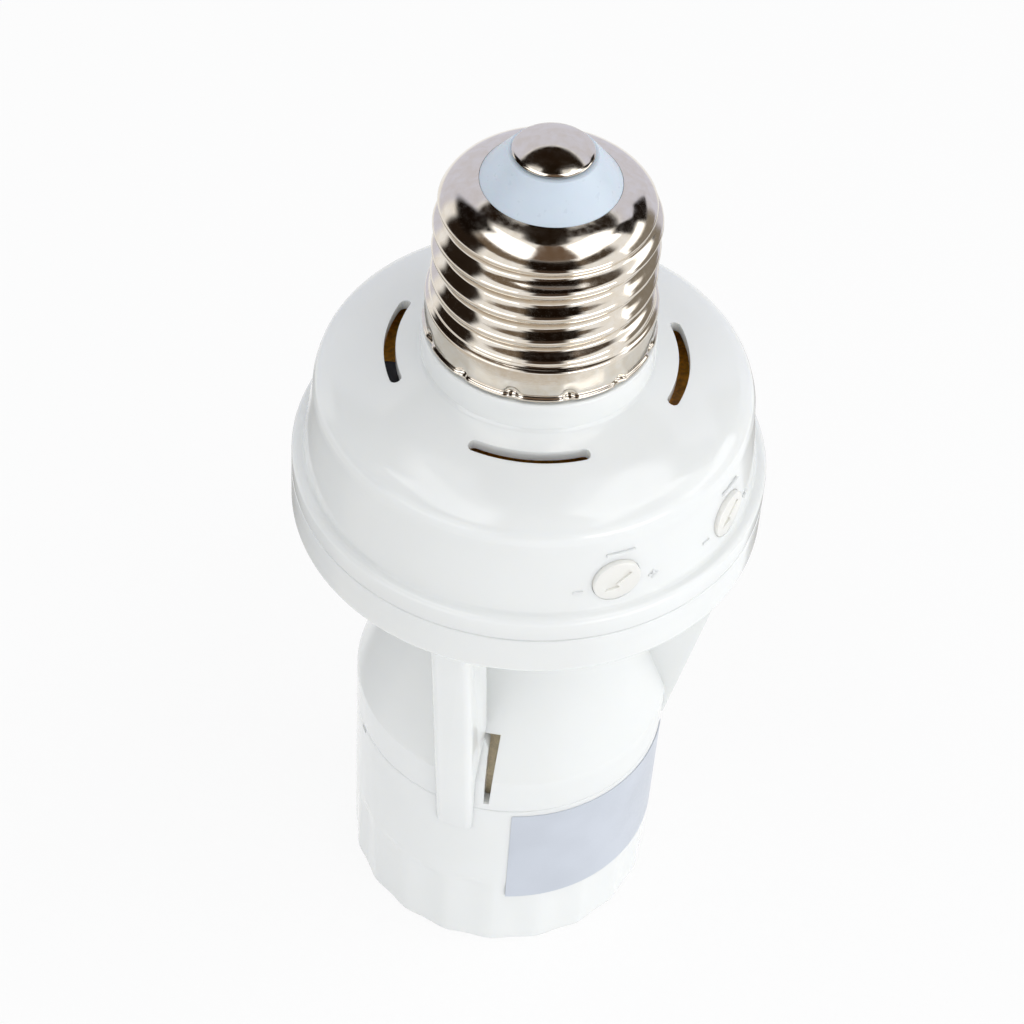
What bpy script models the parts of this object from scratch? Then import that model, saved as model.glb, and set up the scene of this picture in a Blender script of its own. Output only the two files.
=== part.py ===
"""Motion sensor lamp holder: a screw-in adapter with an infrared sensor and a lamp socket.

The screw cap points up and the lamp socket's mouth points down. The origin is the
centre of the mouth's rim and +Z is the axis that the cap and the socket share.
Lengths are metres. Azimuths are degrees about +Z: 0 is the front (-Y), 90 is +X.
"""
import math

import bmesh
import bpy
from mathutils import Vector

# Fits and clearances
CLEARANCE = 0.0003
SEAT_GAP = 0.0003

# Broken edges, and how far a cutter runs past what it cuts
EDGE_BREAK = 0.0002
EDGE_ROUND = 0.0004
OVERSHOOT = 0.0010

# Socket barrel
BARREL_HEIGHT = 0.0290
BARREL_DRAFT = 0.0002
BARREL_WALL = 0.0024
BARREL_LEDGE_HEIGHT = 0.0030
BARREL_LEDGE_WIDTH = 0.0016
FLUTE_COUNT = 20
FLUTE_HEIGHT = 0.0125
FLUTE_DEPTH = 0.00028
RIM_ROUND = 0.0004
SEAM_NOTCH_AZIMUTH = -66.5
SEAM_NOTCH_WIDTH = 0.0026
SEAM_NOTCH_HEIGHT = 0.0016
SEAM_NOTCH_DEPTH = 0.0012

# Lower housing: shoulder, neck, ring
SHOULDER_HEIGHT = 0.0057
SHOULDER_LIP = 0.00006
NECK_HEIGHT = 0.0316
NECK_TOP_RADIUS = 0.0098
NECK_WALL = 0.0019
NECK_STRAIGHT = 0.0055
NECK_FILLET = 0.0014
RING_HEIGHT = 0.0058
RING_RADIUS = 0.0291
RING_WALL = 0.0021
FLOOR_THICKNESS = 0.0018
SPIGOT_LENGTH = 0.0057
SPIGOT_WALL = 0.0017

# Legs that tie the ring to the barrel
LEG_AZIMUTHS = {"front": -16.8, "rear": -136.8}
LEG_WIDTH = 0.0051
LEG_DEPTH = 0.0060
LEG_OVERLAP = 0.0045
LEG_PROUD = 0.00024
LEG_SLOPE = 0.141
LEG_FOOT_THICKNESS = 0.0011
LEG_ROUND = 0.0008

# Sensor pod, a hollow wing that opens into the ring
POD_START_AZIMUTH = 84.5
POD_END_AZIMUTH = 124.0
POD_FOOT_RISE = 0.0006
POD_PROUD = 0.00014
POD_INSET = 0.0007
POD_WALL = 0.0018
POD_NECK_GAP = 0.0027
POD_THROAT = 0.0040
POD_HOLLOW_RISE = 0.0100

# Slit beside the front leg
SLIT_AZIMUTH = -5.2
SLIT_HEIGHT = 0.0112
SLIT_FOOT_RISE = 0.0012
SLIT_STEM_WIDTH = 0.0007
SLIT_HEAD_WIDTH = 0.0019
SLIT_HEAD_HEIGHT = 0.0018
SLIT_FLARE = 0.0004

# Rolled board sleeve inside the shoulder
SLEEVE_THICKNESS = 0.0003
SLEEVE_MARGIN = 0.0016

# Upper housing
FLANGE_HEIGHT = 0.0031
FLANGE_INSET = 0.00003
FLANGE_WIDTH = 0.00141
WALL_TAPER = 0.00111
WALL_HEIGHT = 0.0131
HOUSING_WALL = 0.0018
DOME_RISE = 0.0044
LIP_LENGTH = 0.0025
LIP_WALL = 0.0015
SNAP_HEIGHT = 0.0003
SNAP_DROP = 0.0015
SNAP_HALF_WIDTH = 0.0005
COLLAR_RADIUS = 0.01393
COLLAR_HEIGHT = 0.00385
CAP_BORE_RADIUS = 0.0100
CAP_SPIGOT_HEIGHT = 0.0074
CAP_SPIGOT_RADIUS = 0.0130
CAP_SPIGOT_TIP_RADIUS = 0.0114
VENT_RADIUS = 0.0175
VENT_WIDTH = 0.0014
VENT_ARC = 44.6
VENT_AZIMUTHS = (0.0, 90.0, 180.0, 270.0)
BOSS_RADIUS = 0.0026
BOSS_HOLE_RADIUS = 0.00125
BOSS_EDGE_GAP = 0.0031
BOSS_AZIMUTHS = {"left": -45.0, "right": 135.0}

# Screw cap
SHEET = 0.00035
THREAD_RADIUS = 0.01315
THREAD_DEPTH = 0.00102
THREAD_PITCH = 0.003629
THREAD_PHASE = 0.73
CAP_SKIRT_RADIUS = 0.01367
CAP_SKIRT_HEIGHT = 0.0053
CAP_THREAD_HEIGHT = 0.0112
CAP_DOME_HEIGHT = 0.0052
CAP_HOLE_RADIUS = 0.00815
CRIMP_COUNT = 12
CRIMP_DEPTH = 0.00045
CRIMP_HEIGHT = 0.0019
CRIMP_SHARE = 0.28
SKIRT_STEP = 0.0009
INSULATOR_RADIUS = 0.00785
INSULATOR_FLANGE_RADIUS = 0.0098
INSULATOR_FLANGE_THICKNESS = 0.0014
INSULATOR_RISE = 0.0039
INSULATOR_SINK = 0.0016
CONTACT_RADIUS = 0.00465
CONTACT_DOME = 0.0013
STEM_RADIUS = 0.0016
STEM_REACH = 0.0020

# Socket insert and its contacts
INSERT_CEILING_DROP = 0.0021
INSERT_WALL = 0.00365
INSERT_BASE_THICKNESS = 0.0040
INSERT_CHAMBER_HEIGHT = 0.0119
INSERT_CHAMBER_WALL = 0.0019
INSERT_TAPER_WIDTH = 0.0014
INSERT_TAPER_HEIGHT = 0.0030
LAMP_SHEET = 0.0004
LAMP_THREAD_RADIUS = 0.01335
LAMP_THREAD_DEPTH = 0.00107
LAMP_SHELL_FOOT_Z = 0.0060
LAMP_SHELL_HOLE_RADIUS = 0.0070
LAMP_SHELL_BEND = 0.0005
LAMP_THREAD_DROP = 0.0012
RIVET_RADIUS = 0.0010
RIVET_HEAD_RADIUS = 0.0017
RIVET_HEIGHT = 0.0022
RIVET_HEAD_HEIGHT = 0.0006
SHELL_RIVET_INSET = 0.00295
ANCHOR_RIVET_RADIUS = 0.0046
TAG_HEIGHT = 0.0040
TAG_WIDTH = 0.0026
TAG_THICKNESS = 0.0006
ANCHOR_PLATE_THICKNESS = 0.0005
TONGUE_WIDTH = 0.0046
TONGUE_THICKNESS = 0.0004
TONGUE_PIVOT_X = -0.0026
TONGUE_DROP = 0.0025
TONGUE_REACH = 0.0036

# Boards and components
BOARD_EDGE_GAP = 0.00115
BOARD_THICKNESS = 0.0016
BOARD_DROP = 0.0020
SCREW_RADIUS = 0.0009
SCREW_HEAD_RADIUS = 0.0019
SCREW_HEAD_HEIGHT = 0.0013
SCREW_GRIP = 0.0032
TRIMMER_SIZE = (0.0092, 0.0050, 0.0080)
TRIMMER_EDGE_GAP = 0.0010
KNOB_RISE = 0.0050
KNOB_AZIMUTHS = {"time": 24.5, "lux": 62.0}
KNOB_RADIUS = 0.00295
KNOB_THICKNESS = 0.0020
KNOB_PROUD = 0.0004
KNOB_POINTER = 50.0
KNOB_SHAFT_RADIUS = 0.0015
KNOB_SLOT_DEPTH = 0.0007
KNOB_SLOT_WIDTH = 0.0008
FILM_CAPACITOR_SIZE = (0.0130, 0.0060, 0.0100)
RELAY_SIZE = (0.0155, 0.0100, 0.0092)
CAN_CAPACITOR_RADIUS = 0.0040
CAN_CAPACITOR_HEIGHT = 0.0115
RESISTOR_RADIUS = 0.0020
RESISTOR_LENGTH = 0.0090
RESISTOR_CENTRE = 0.0180
RESISTOR_AZIMUTH = -12.0
CAN_CAPACITOR_CENTRE = 0.0126
CAN_CAPACITOR_AZIMUTH = -46.0
FILM_CAPACITOR_CENTRE = 0.0135
FILM_CAPACITOR_AZIMUTH = -100.0
RELAY_CENTRE = 0.0125
RELAY_AZIMUTH = 105.0
SENSOR_BOARD_SIZE = (0.0108, 0.0122, 0.0012)
SENSOR_BOARD_RISE = 0.0049
SENSOR_BOARD_OFFSET = 0.0014
SENSOR_HEADER_SIZE = (0.0076, 0.0025)
SENSOR_HEADER_OFFSET = 0.0046
SENSOR_POST_OFFSET = 0.0056
SENSOR_POST_RADIUS = 0.0012
SENSOR_POST_SPREAD = 0.0052

# Lens, infrared sensor and light sensor
LENS_AZIMUTH = 169.0
LENS_EDGE_GAP = 0.0002
LENS_RADIUS = 0.0063
LENS_WALL = 0.0008
LENS_STRAIGHT = 0.0012
LENS_FLANGE_WIDTH = 0.0009
LENS_FLANGE_THICKNESS = 0.0008
SENSOR_CAN_RADIUS = 0.00415
SENSOR_BRIM_RADIUS = 0.0049
SENSOR_BRIM_THICKNESS = 0.0007
SENSOR_CAN_HEIGHT = 0.0041
LIGHT_SENSOR_AZIMUTH = 203.0
LIGHT_SENSOR_RADIUS = 0.0025
LIGHT_SENSOR_FLANGE_RADIUS = 0.0034
LIGHT_SENSOR_FLANGE_THICKNESS = 0.0010
LIGHT_SENSOR_NOSE = 0.0014

# Wires
WIRE_RADIUS = 0.0008
WIRE_STRAIGHT = 0.0060
WIRE_OFFSET = 0.0030
WIRE_STEP = 0.0020

# Radii worked out from the sizes above, from the lamp's thread outwards
SHELL_RIVET_RADIUS = LAMP_THREAD_RADIUS - SHELL_RIVET_INSET
INSERT_BORE = LAMP_THREAD_RADIUS + LAMP_SHEET + CLEARANCE
INSERT_RADIUS = INSERT_BORE + INSERT_WALL
SPIGOT_BORE = INSERT_RADIUS - SPIGOT_WALL
INSERT_UPPER_RADIUS = SPIGOT_BORE - CLEARANCE - 0.0004
BARREL_TOP_RADIUS = INSERT_RADIUS + CLEARANCE + BARREL_WALL
BARREL_FOOT_RADIUS = BARREL_TOP_RADIUS - BARREL_DRAFT
SHOULDER_RADIUS = BARREL_TOP_RADIUS + SHOULDER_LIP
SHOULDER_BORE = SHOULDER_RADIUS - NECK_WALL
NECK_BORE = NECK_TOP_RADIUS - NECK_WALL
LEG_FOOT_RADIUS = SHOULDER_RADIUS + LEG_PROUD
POD_FOOT_RADIUS = SHOULDER_RADIUS + POD_PROUD
FLANGE_RADIUS = RING_RADIUS - FLANGE_INSET
WALL_FOOT_RADIUS = FLANGE_RADIUS - FLANGE_WIDTH
WALL_TOP_RADIUS = WALL_FOOT_RADIUS - WALL_TAPER
POD_TOP_RADIUS = RING_RADIUS - POD_INSET
BOARD_RADIUS = WALL_TOP_RADIUS - HOUSING_WALL - BOARD_EDGE_GAP
BOSS_CENTRE_RADIUS = BOARD_RADIUS - BOSS_EDGE_GAP
TRIMMER_FACE_RADIUS = BOARD_RADIUS - TRIMMER_EDGE_GAP
LENS_CENTRE_RADIUS = RING_RADIUS - RING_WALL - LENS_EDGE_GAP - LENS_RADIUS - LENS_FLANGE_WIDTH
SENSOR_BOARD_CENTRE = LENS_CENTRE_RADIUS - SENSOR_BOARD_OFFSET
SENSOR_HEADER_CENTRE = SENSOR_BOARD_CENTRE - SENSOR_HEADER_OFFSET
SENSOR_POST_CENTRE = SENSOR_BOARD_CENTRE - SENSOR_POST_OFFSET

# Heights worked out from the sizes above
LEG_FOOT_Z = BARREL_HEIGHT - LEG_OVERLAP
POD_FOOT_Z = BARREL_HEIGHT + POD_FOOT_RISE
POD_HOLLOW_Z = BARREL_HEIGHT + POD_HOLLOW_RISE
SLIT_FOOT_Z = BARREL_HEIGHT + SLIT_FOOT_RISE
SLIT_TOP_Z = SLIT_FOOT_Z + SLIT_HEIGHT
INSERT_CEILING_Z = BARREL_HEIGHT - INSERT_CEILING_DROP
INSERT_FLOOR_Z = INSERT_CEILING_Z + INSERT_BASE_THICKNESS
INSERT_TOP_Z = INSERT_FLOOR_Z + INSERT_CHAMBER_HEIGHT
SPIGOT_FOOT_Z = BARREL_HEIGHT - SPIGOT_LENGTH
INSERT_STEP_Z = SPIGOT_FOOT_Z - SEAT_GAP
SHOULDER_Z = BARREL_HEIGHT + SHOULDER_HEIGHT
RING_Z = SHOULDER_Z + NECK_HEIGHT
FLOOR_TOP_Z = RING_Z + FLOOR_THICKNESS
PARTING_Z = RING_Z + RING_HEIGHT
FLANGE_TOP_Z = PARTING_Z + FLANGE_HEIGHT
CREASE_Z = FLANGE_TOP_Z + WALL_HEIGHT
COLLAR_FOOT_Z = CREASE_Z + DOME_RISE
COLLAR_TOP_Z = COLLAR_FOOT_Z + COLLAR_HEIGHT
CAP_FOOT_Z = COLLAR_TOP_Z + SEAT_GAP
CAP_THREAD_FOOT_Z = CAP_FOOT_Z + CAP_SKIRT_HEIGHT
CAP_THREAD_TOP_Z = CAP_THREAD_FOOT_Z + CAP_THREAD_HEIGHT
CAP_TOP_Z = CAP_THREAD_TOP_Z + CAP_DOME_HEIGHT
INSULATOR_TOP_Z = CAP_TOP_Z + INSULATOR_RISE
CONTACT_EDGE_Z = INSULATOR_TOP_Z + SEAT_GAP
BOARD_TOP_Z = CREASE_Z - BOARD_DROP
BOARD_FOOT_Z = BOARD_TOP_Z - BOARD_THICKNESS
COMPONENT_TOP_Z = BOARD_FOOT_Z - SEAT_GAP
NECK_CONE_TOP_Z = RING_Z - NECK_STRAIGHT
KNOB_Z = FLANGE_TOP_Z + KNOB_RISE
SENSOR_BOARD_Z = FLOOR_TOP_Z + SENSOR_BOARD_RISE

# Facets round each turned piece
HOUSING_STEPS = 32
CAP_STEPS = 3 * CRIMP_COUNT
LAMP_STEPS = 20
SMALL_STEPS = 16
BOARD_STEPS = 32
ROWS_PER_TURN = 3.6

PARTS = "Motion sensor lamp holder"
CUTTERS = "Cutters"


def clear_scene():
    """Remove whatever the file opened with."""
    for obj in list(bpy.data.objects):
        bpy.data.objects.remove(obj, do_unlink=True)


def collection(name):
    """Return a collection of the scene, made on first use."""
    found = bpy.data.collections.get(name)
    if found is None:
        found = bpy.data.collections.new(name)
        bpy.context.scene.collection.children.link(found)
    return found


def material(name, colour, roughness, metallic=0.0):
    """Return a plain surface with the piece's own colour, roughness and metallic value."""
    made = bpy.data.materials.new(name)
    made.use_nodes = True
    shader = made.node_tree.nodes["Principled BSDF"]
    shader.inputs["Base Color"].default_value = (*colour, 1.0)
    shader.inputs["Roughness"].default_value = roughness
    shader.inputs["Metallic"].default_value = metallic
    made.diffuse_color = (*colour, 1.0)
    return made


def place(name, mesh, surface=None, location=(0, 0, 0), azimuth=0.0):
    """Link a mesh as a part, or as a cutter where it has no surface."""
    obj = bpy.data.objects.new(name, mesh)
    obj.location = location
    obj.rotation_euler.z = math.radians(azimuth)
    if surface is None:
        collection(CUTTERS).objects.link(obj)
        obj.hide_render = True
        obj.display_type = "WIRE"
    else:
        collection(PARTS).objects.link(obj)
        mesh.materials.append(surface)
    return obj


def polar(radius, azimuth, z):
    """Return the point at a radius, an azimuth in degrees and a height."""
    angle = math.radians(azimuth)
    return Vector((radius * math.sin(angle), -radius * math.cos(angle), z))


def arc(centre, radius, start, end, count):
    """Return points of an arc in the profile plane; 0 degrees is outward, 90 is up."""
    points = []
    for step in range(count + 1):
        angle = math.radians(start + (end - start) * step / count)
        points.append((centre[0] + radius * math.cos(angle), centre[1] + radius * math.sin(angle)))
    return points


def smooth(mesh, limit=35.0):
    """Shade a round mesh smooth and keep its sharp edges."""
    mesh.shade_smooth()
    mesh.set_sharp_from_angle(angle=math.radians(limit))


def turned(name, profile, steps, surface=None, location=(0, 0, 0)):
    """Turn a closed profile of (radius, height) points about the vertical axis."""
    mesh = bpy.data.meshes.new(name)
    shape = bmesh.new()
    points = [shape.verts.new((radius, 0.0, height)) for radius, height in profile]
    for first, second in zip(points, points[1:]):
        shape.edges.new((first, second))
    if profile[0][0] > 0.0:
        shape.edges.new((points[-1], points[0]))
    shape.to_mesh(mesh)
    shape.free()
    obj = place(name, mesh, surface, location)
    turn = obj.modifiers.new("Turn", "SCREW")
    turn.steps = steps
    turn.render_steps = steps
    turn.use_merge_vertices = True
    turn.merge_threshold = 0.00001
    return obj


def apply_modifiers(obj):
    """Replace an object's mesh by the mesh that its modifiers make."""
    bpy.context.view_layer.update()
    evaluated = obj.evaluated_get(bpy.context.evaluated_depsgraph_get())
    mesh = bpy.data.meshes.new_from_object(evaluated)
    mesh.name = obj.name
    obj.modifiers.clear()
    obj.data = mesh
    return obj


def prism(name, outline, near, far, surface=None, azimuth=0.0):
    """Extrude an outline of (across, height) points from y = near to y = far."""
    mesh = bpy.data.meshes.new(name)
    shape = bmesh.new()
    face = shape.faces.new([shape.verts.new((x, near, z)) for x, z in outline])
    grown = bmesh.ops.extrude_face_region(shape, geom=[face])
    moved = [item for item in grown["geom"] if isinstance(item, bmesh.types.BMVert)]
    bmesh.ops.translate(shape, verts=moved, vec=(0.0, far - near, 0.0))
    bmesh.ops.recalc_face_normals(shape, faces=shape.faces)
    shape.to_mesh(mesh)
    shape.free()
    return place(name, mesh, surface, azimuth=azimuth)


def block(name, size, centre, surface=None, azimuth=0.0, edge=0.0):
    """Make a box of a size whose centre is at (across, outward radius, height)."""
    mesh = bpy.data.meshes.new(name)
    shape = bmesh.new()
    bmesh.ops.create_cube(shape, size=1.0)
    bmesh.ops.scale(shape, verts=shape.verts, vec=size)
    bmesh.ops.translate(shape, verts=shape.verts, vec=(centre[0], -centre[1], centre[2]))
    shape.to_mesh(mesh)
    shape.free()
    obj = place(name, mesh, surface, azimuth=azimuth)
    if edge > 0.0:
        bevel = obj.modifiers.new("Edges", "BEVEL")
        bevel.width = edge
        bevel.segments = 1
    return obj


def drill(name, radius, low, high, location, surface=None, steps=SMALL_STEPS):
    """Make an upright cylinder between two heights at a place in plan."""
    mesh = bpy.data.meshes.new(name)
    shape = bmesh.new()
    bmesh.ops.create_cone(shape, cap_ends=True, segments=steps, radius1=radius, radius2=radius,
                          depth=high - low)
    shape.to_mesh(mesh)
    shape.free()
    return place(name, mesh, surface, (location.x, location.y, 0.5 * (low + high)))


def combine(target, other, operation):
    """Add a Boolean modifier to a part."""
    change = target.modifiers.new(operation.title(), "BOOLEAN")
    change.operation = operation
    change.object = other
    change.solver = "EXACT"


def tube(name, route, radius, surface):
    """Make a wire along a smooth curve through a few points."""
    curve = bpy.data.curves.new(name, "CURVE")
    curve.dimensions = "3D"
    curve.bevel_depth = radius
    curve.bevel_resolution = 2
    curve.use_fill_caps = True
    spline = curve.splines.new("POLY")
    points = smooth_route([Vector(point) for point in route])
    spline.points.add(len(points) - 1)
    for slot, point in zip(spline.points, points):
        slot.co = (*point, 1.0)
    curve.materials.append(surface)
    obj = bpy.data.objects.new(name, curve)
    collection(PARTS).objects.link(obj)
    return obj


def smooth_route(route, pieces=2):
    """Return points of a Catmull-Rom curve through a route."""
    padded = [2 * route[0] - route[1], *route, 2 * route[-1] - route[-2]]
    points = []
    for index in range(len(route) - 1):
        before, start, end, after = padded[index:index + 4]
        for step in range(pieces):
            t = step / pieces
            points.append(0.5 * (2 * start + (end - before) * t
                                 + (2 * before - 5 * start + 4 * end - after) * t * t
                                 + (3 * start - before - 3 * end + after) * t ** 3))
    return [*points, route[-1]]


def neck_radius(z):
    """Return the outer radius of the neck's cone at a height."""
    share = (z - SHOULDER_Z) / (NECK_CONE_TOP_Z - SHOULDER_Z)
    return SHOULDER_RADIUS + (NECK_TOP_RADIUS - SHOULDER_RADIUS) * share


def neck_bore_radius(z):
    """Return the inner radius of the neck's cone at a height."""
    foot = SHOULDER_Z - EDGE_ROUND
    share = (z - foot) / (NECK_CONE_TOP_Z - SHOULDER_Z)
    return SHOULDER_BORE + (NECK_BORE - SHOULDER_BORE) * share


def leg_radius(z):
    """Return the radius of a leg's outer face at a height."""
    return LEG_FOOT_RADIUS + LEG_SLOPE * (z - LEG_FOOT_Z)


def pod_radius(z):
    """Return the radius of the pod's outer face at a height."""
    share = (z - POD_FOOT_Z) / (RING_Z - POD_FOOT_Z)
    return POD_FOOT_RADIUS + (POD_TOP_RADIUS - POD_FOOT_RADIUS) * share


def press_thread(mesh, low, high, depth, phase):
    """Roll a thread into a sheet cylinder: push its rings in along a right-hand helix."""
    run_out = 0.5 * THREAD_PITCH
    for vertex in mesh.vertices:
        x, y, z = vertex.co
        if not low < z < high:
            continue
        turn = z / THREAD_PITCH - math.atan2(y, x) / math.tau + phase
        fade = min(1.0, (z - low) / run_out, (high - z) / run_out)
        push = depth * fade * 0.5 * (1.0 - math.cos(math.tau * turn))
        scale = 1.0 - push / math.hypot(x, y)
        vertex.co = (x * scale, y * scale, z)


def press_crimps(mesh, centre_z):
    """Dent the cap's skirt where it is crimped to the collar."""
    for vertex in mesh.vertices:
        x, y, z = vertex.co
        if abs(z - centre_z) > 0.25 * CRIMP_HEIGHT:
            continue
        share = math.atan2(y, x) / math.tau * CRIMP_COUNT
        if abs(share - round(share)) < 0.1:
            scale = 1.0 - CRIMP_DEPTH / math.hypot(x, y)
            vertex.co = (x * scale, y * scale, z)


def ladder(low, high, count):
    """Return evenly spaced heights from high down to low, ends included."""
    return [high + (low - high) * step / count for step in range(count + 1)]


def make_cap_shell(metal):
    """Rolled sheet cap: domed top, Edison thread, crimped skirt."""
    crimp_z = CAP_FOOT_Z + CRIMP_SHARE * CAP_SKIRT_HEIGHT
    dome_drop = CAP_DOME_HEIGHT
    outer = [(CAP_HOLE_RADIUS, CAP_TOP_Z)]
    for share_in, share_down in ((0.42, 0.17), (0.74, 0.42), (0.93, 0.72)):
        radius = CAP_HOLE_RADIUS + (THREAD_RADIUS - CAP_HOLE_RADIUS) * share_in
        outer.append((radius, CAP_TOP_Z - dome_drop * share_down))
    thread_rows = round(CAP_THREAD_HEIGHT / THREAD_PITCH * ROWS_PER_TURN)
    outer += [(THREAD_RADIUS, z) for z in ladder(CAP_THREAD_FOOT_Z, CAP_THREAD_TOP_Z, thread_rows)]
    outer.append((CAP_SKIRT_RADIUS, CAP_THREAD_FOOT_Z - SKIRT_STEP))
    for z in (crimp_z + 0.5 * CRIMP_HEIGHT, crimp_z, crimp_z - 0.5 * CRIMP_HEIGHT):
        outer.append((CAP_SKIRT_RADIUS, z))
    outer.append((CAP_SKIRT_RADIUS, CAP_FOOT_Z))
    inner = [(CAP_SKIRT_RADIUS - SHEET, z) for radius, z in reversed(outer[-5:])]
    inner += [(radius - SHEET, z) for radius, z in reversed(outer[4:-5])]
    inner += [(radius - 0.7 * SHEET, z - 0.8 * SHEET) for radius, z in reversed(outer[1:4])]
    inner.append((CAP_HOLE_RADIUS, CAP_TOP_Z - SHEET))
    shell = apply_modifiers(turned("cap_shell", outer + inner, CAP_STEPS, metal))
    press_thread(shell.data, CAP_THREAD_FOOT_Z, CAP_THREAD_TOP_Z, THREAD_DEPTH, THREAD_PHASE)
    press_crimps(shell.data, crimp_z)
    smooth(shell.data, 60.0)


def make_cap_insulator(ceramic):
    """White disc between the cap shell and the centre contact."""
    flange_top = CAP_TOP_Z - INSULATOR_SINK
    flange_foot = flange_top - INSULATOR_FLANGE_THICKNESS
    hole = STEM_RADIUS + CLEARANCE
    profile = [(hole, INSULATOR_TOP_Z), (CONTACT_RADIUS + EDGE_BREAK, INSULATOR_TOP_Z),
               (INSULATOR_RADIUS, CAP_TOP_Z + CLEARANCE), (INSULATOR_RADIUS, flange_top + EDGE_BREAK),
               (INSULATOR_FLANGE_RADIUS, flange_top - EDGE_BREAK),
               (INSULATOR_FLANGE_RADIUS, flange_foot), (hole, flange_foot)]
    smooth(turned("cap_insulator", profile, LAMP_STEPS, ceramic).data)


def make_centre_contact(metal):
    """Domed button with the stem that the live wire is soldered to."""
    rise = CONTACT_DOME
    profile = [(0.0, CONTACT_EDGE_Z + rise), (0.40 * CONTACT_RADIUS, CONTACT_EDGE_Z + 0.88 * rise),
               (0.75 * CONTACT_RADIUS, CONTACT_EDGE_Z + 0.58 * rise),
               (0.95 * CONTACT_RADIUS, CONTACT_EDGE_Z + 0.25 * rise),
               (CONTACT_RADIUS, CONTACT_EDGE_Z), (STEM_RADIUS, CONTACT_EDGE_Z),
               (STEM_RADIUS, CAP_TOP_Z - STEM_REACH), (0.0, CAP_TOP_Z - STEM_REACH)]
    smooth(turned("centre_contact", profile, 20, metal).data)


def upper_housing_profile():
    """Profile of the domed housing from its cap spigot to its snap lip."""
    lip_radius = RING_RADIUS - RING_WALL - CLEARANCE
    lip_foot = PARTING_Z - LIP_LENGTH
    crimp_z = CAP_FOOT_Z + CRIMP_SHARE * CAP_SKIRT_HEIGHT
    groove_radius = CAP_SPIGOT_RADIUS - CRIMP_DEPTH - EDGE_BREAK
    spigot_top = COLLAR_TOP_Z + CAP_SPIGOT_HEIGHT
    spigot_step = CAP_THREAD_FOOT_Z - 2 * EDGE_ROUND
    dome_width = WALL_TOP_RADIUS - COLLAR_RADIUS
    outer = [(CAP_BORE_RADIUS, spigot_top), (CAP_SPIGOT_TIP_RADIUS, spigot_top),
             (CAP_SPIGOT_TIP_RADIUS, spigot_step + 3 * EDGE_BREAK),
             (CAP_SPIGOT_RADIUS, spigot_step - EDGE_BREAK),
             (CAP_SPIGOT_RADIUS, crimp_z + 0.5 * CRIMP_HEIGHT), (groove_radius, crimp_z),
             (CAP_SPIGOT_RADIUS, crimp_z - 0.5 * CRIMP_HEIGHT), (CAP_SPIGOT_RADIUS, COLLAR_TOP_Z),
             (COLLAR_RADIUS - EDGE_BREAK, COLLAR_TOP_Z), (COLLAR_RADIUS, COLLAR_TOP_Z - EDGE_BREAK),
             (COLLAR_RADIUS, COLLAR_FOOT_Z + 0.13 * COLLAR_HEIGHT)]
    for share_out, share_down in ((0.05, 0.03), (0.28, 0.20), (0.55, 0.45), (0.78, 0.74), (0.89, 0.95)):
        outer.append((COLLAR_RADIUS + dome_width * share_out, COLLAR_FOOT_Z - DOME_RISE * share_down))
    outer += [(COLLAR_RADIUS + dome_width * 0.965, CREASE_Z - 0.14 * DOME_RISE),
              (WALL_TOP_RADIUS, CREASE_Z - 0.41 * DOME_RISE),
              (WALL_FOOT_RADIUS, FLANGE_TOP_Z + EDGE_BREAK), (FLANGE_RADIUS - EDGE_ROUND, FLANGE_TOP_Z),
              (FLANGE_RADIUS, FLANGE_TOP_Z - EDGE_ROUND), (FLANGE_RADIUS, PARTING_Z + EDGE_BREAK),
              (FLANGE_RADIUS - EDGE_BREAK, PARTING_Z), (lip_radius, PARTING_Z),
              (lip_radius, PARTING_Z - SNAP_DROP + SNAP_HALF_WIDTH),
              (lip_radius + SNAP_HEIGHT, PARTING_Z - SNAP_DROP),
              (lip_radius, PARTING_Z - SNAP_DROP - SNAP_HALF_WIDTH), (lip_radius, lip_foot)]
    inner_wall = WALL_TOP_RADIUS - HOUSING_WALL
    inner = [(lip_radius - LIP_WALL, lip_foot), (inner_wall, CREASE_Z - 1.4 * HOUSING_WALL),
             (COLLAR_RADIUS + dome_width * 0.80, CREASE_Z - 0.39 * HOUSING_WALL),
             (COLLAR_RADIUS + dome_width * 0.50, COLLAR_FOOT_Z - DOME_RISE * 0.42 - HOUSING_WALL),
             (COLLAR_RADIUS, COLLAR_FOOT_Z - HOUSING_WALL),
             (CAP_BORE_RADIUS, COLLAR_FOOT_Z - HOUSING_WALL)]
    return outer + inner


def vent_cutter(azimuth):
    """Arc-shaped slot through the dome, swept about the axis."""
    inner = VENT_RADIUS - 0.5 * VENT_WIDTH
    outer = VENT_RADIUS + 0.5 * VENT_WIDTH
    low = CREASE_Z - OVERSHOOT
    high = COLLAR_TOP_Z
    mesh = bpy.data.meshes.new("vent_cutter")
    shape = bmesh.new()
    corners = [(inner, low), (outer, low), (outer, high), (inner, high)]
    start = [shape.verts.new(polar(radius, azimuth - 0.5 * VENT_ARC, z)) for radius, z in corners]
    face = shape.faces.new(start)
    steps = 4
    for step in range(steps):
        grown = bmesh.ops.extrude_face_region(shape, geom=[face])
        moved = [item for item in grown["geom"] if isinstance(item, bmesh.types.BMVert)]
        ends = [item for item in grown["geom"] if isinstance(item, bmesh.types.BMFace)]
        turn = math.radians(VENT_ARC / steps)
        for vertex in moved:
            x, y, z = vertex.co
            vertex.co = (x * math.cos(turn) - y * math.sin(turn),
                         x * math.sin(turn) + y * math.cos(turn), z)
        if step > 0:
            bmesh.ops.delete(shape, geom=[face], context="FACES_ONLY")
        face = ends[0]
    bmesh.ops.recalc_face_normals(shape, faces=shape.faces)
    shape.to_mesh(mesh)
    shape.free()
    return place("vent_cutter", mesh)


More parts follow.
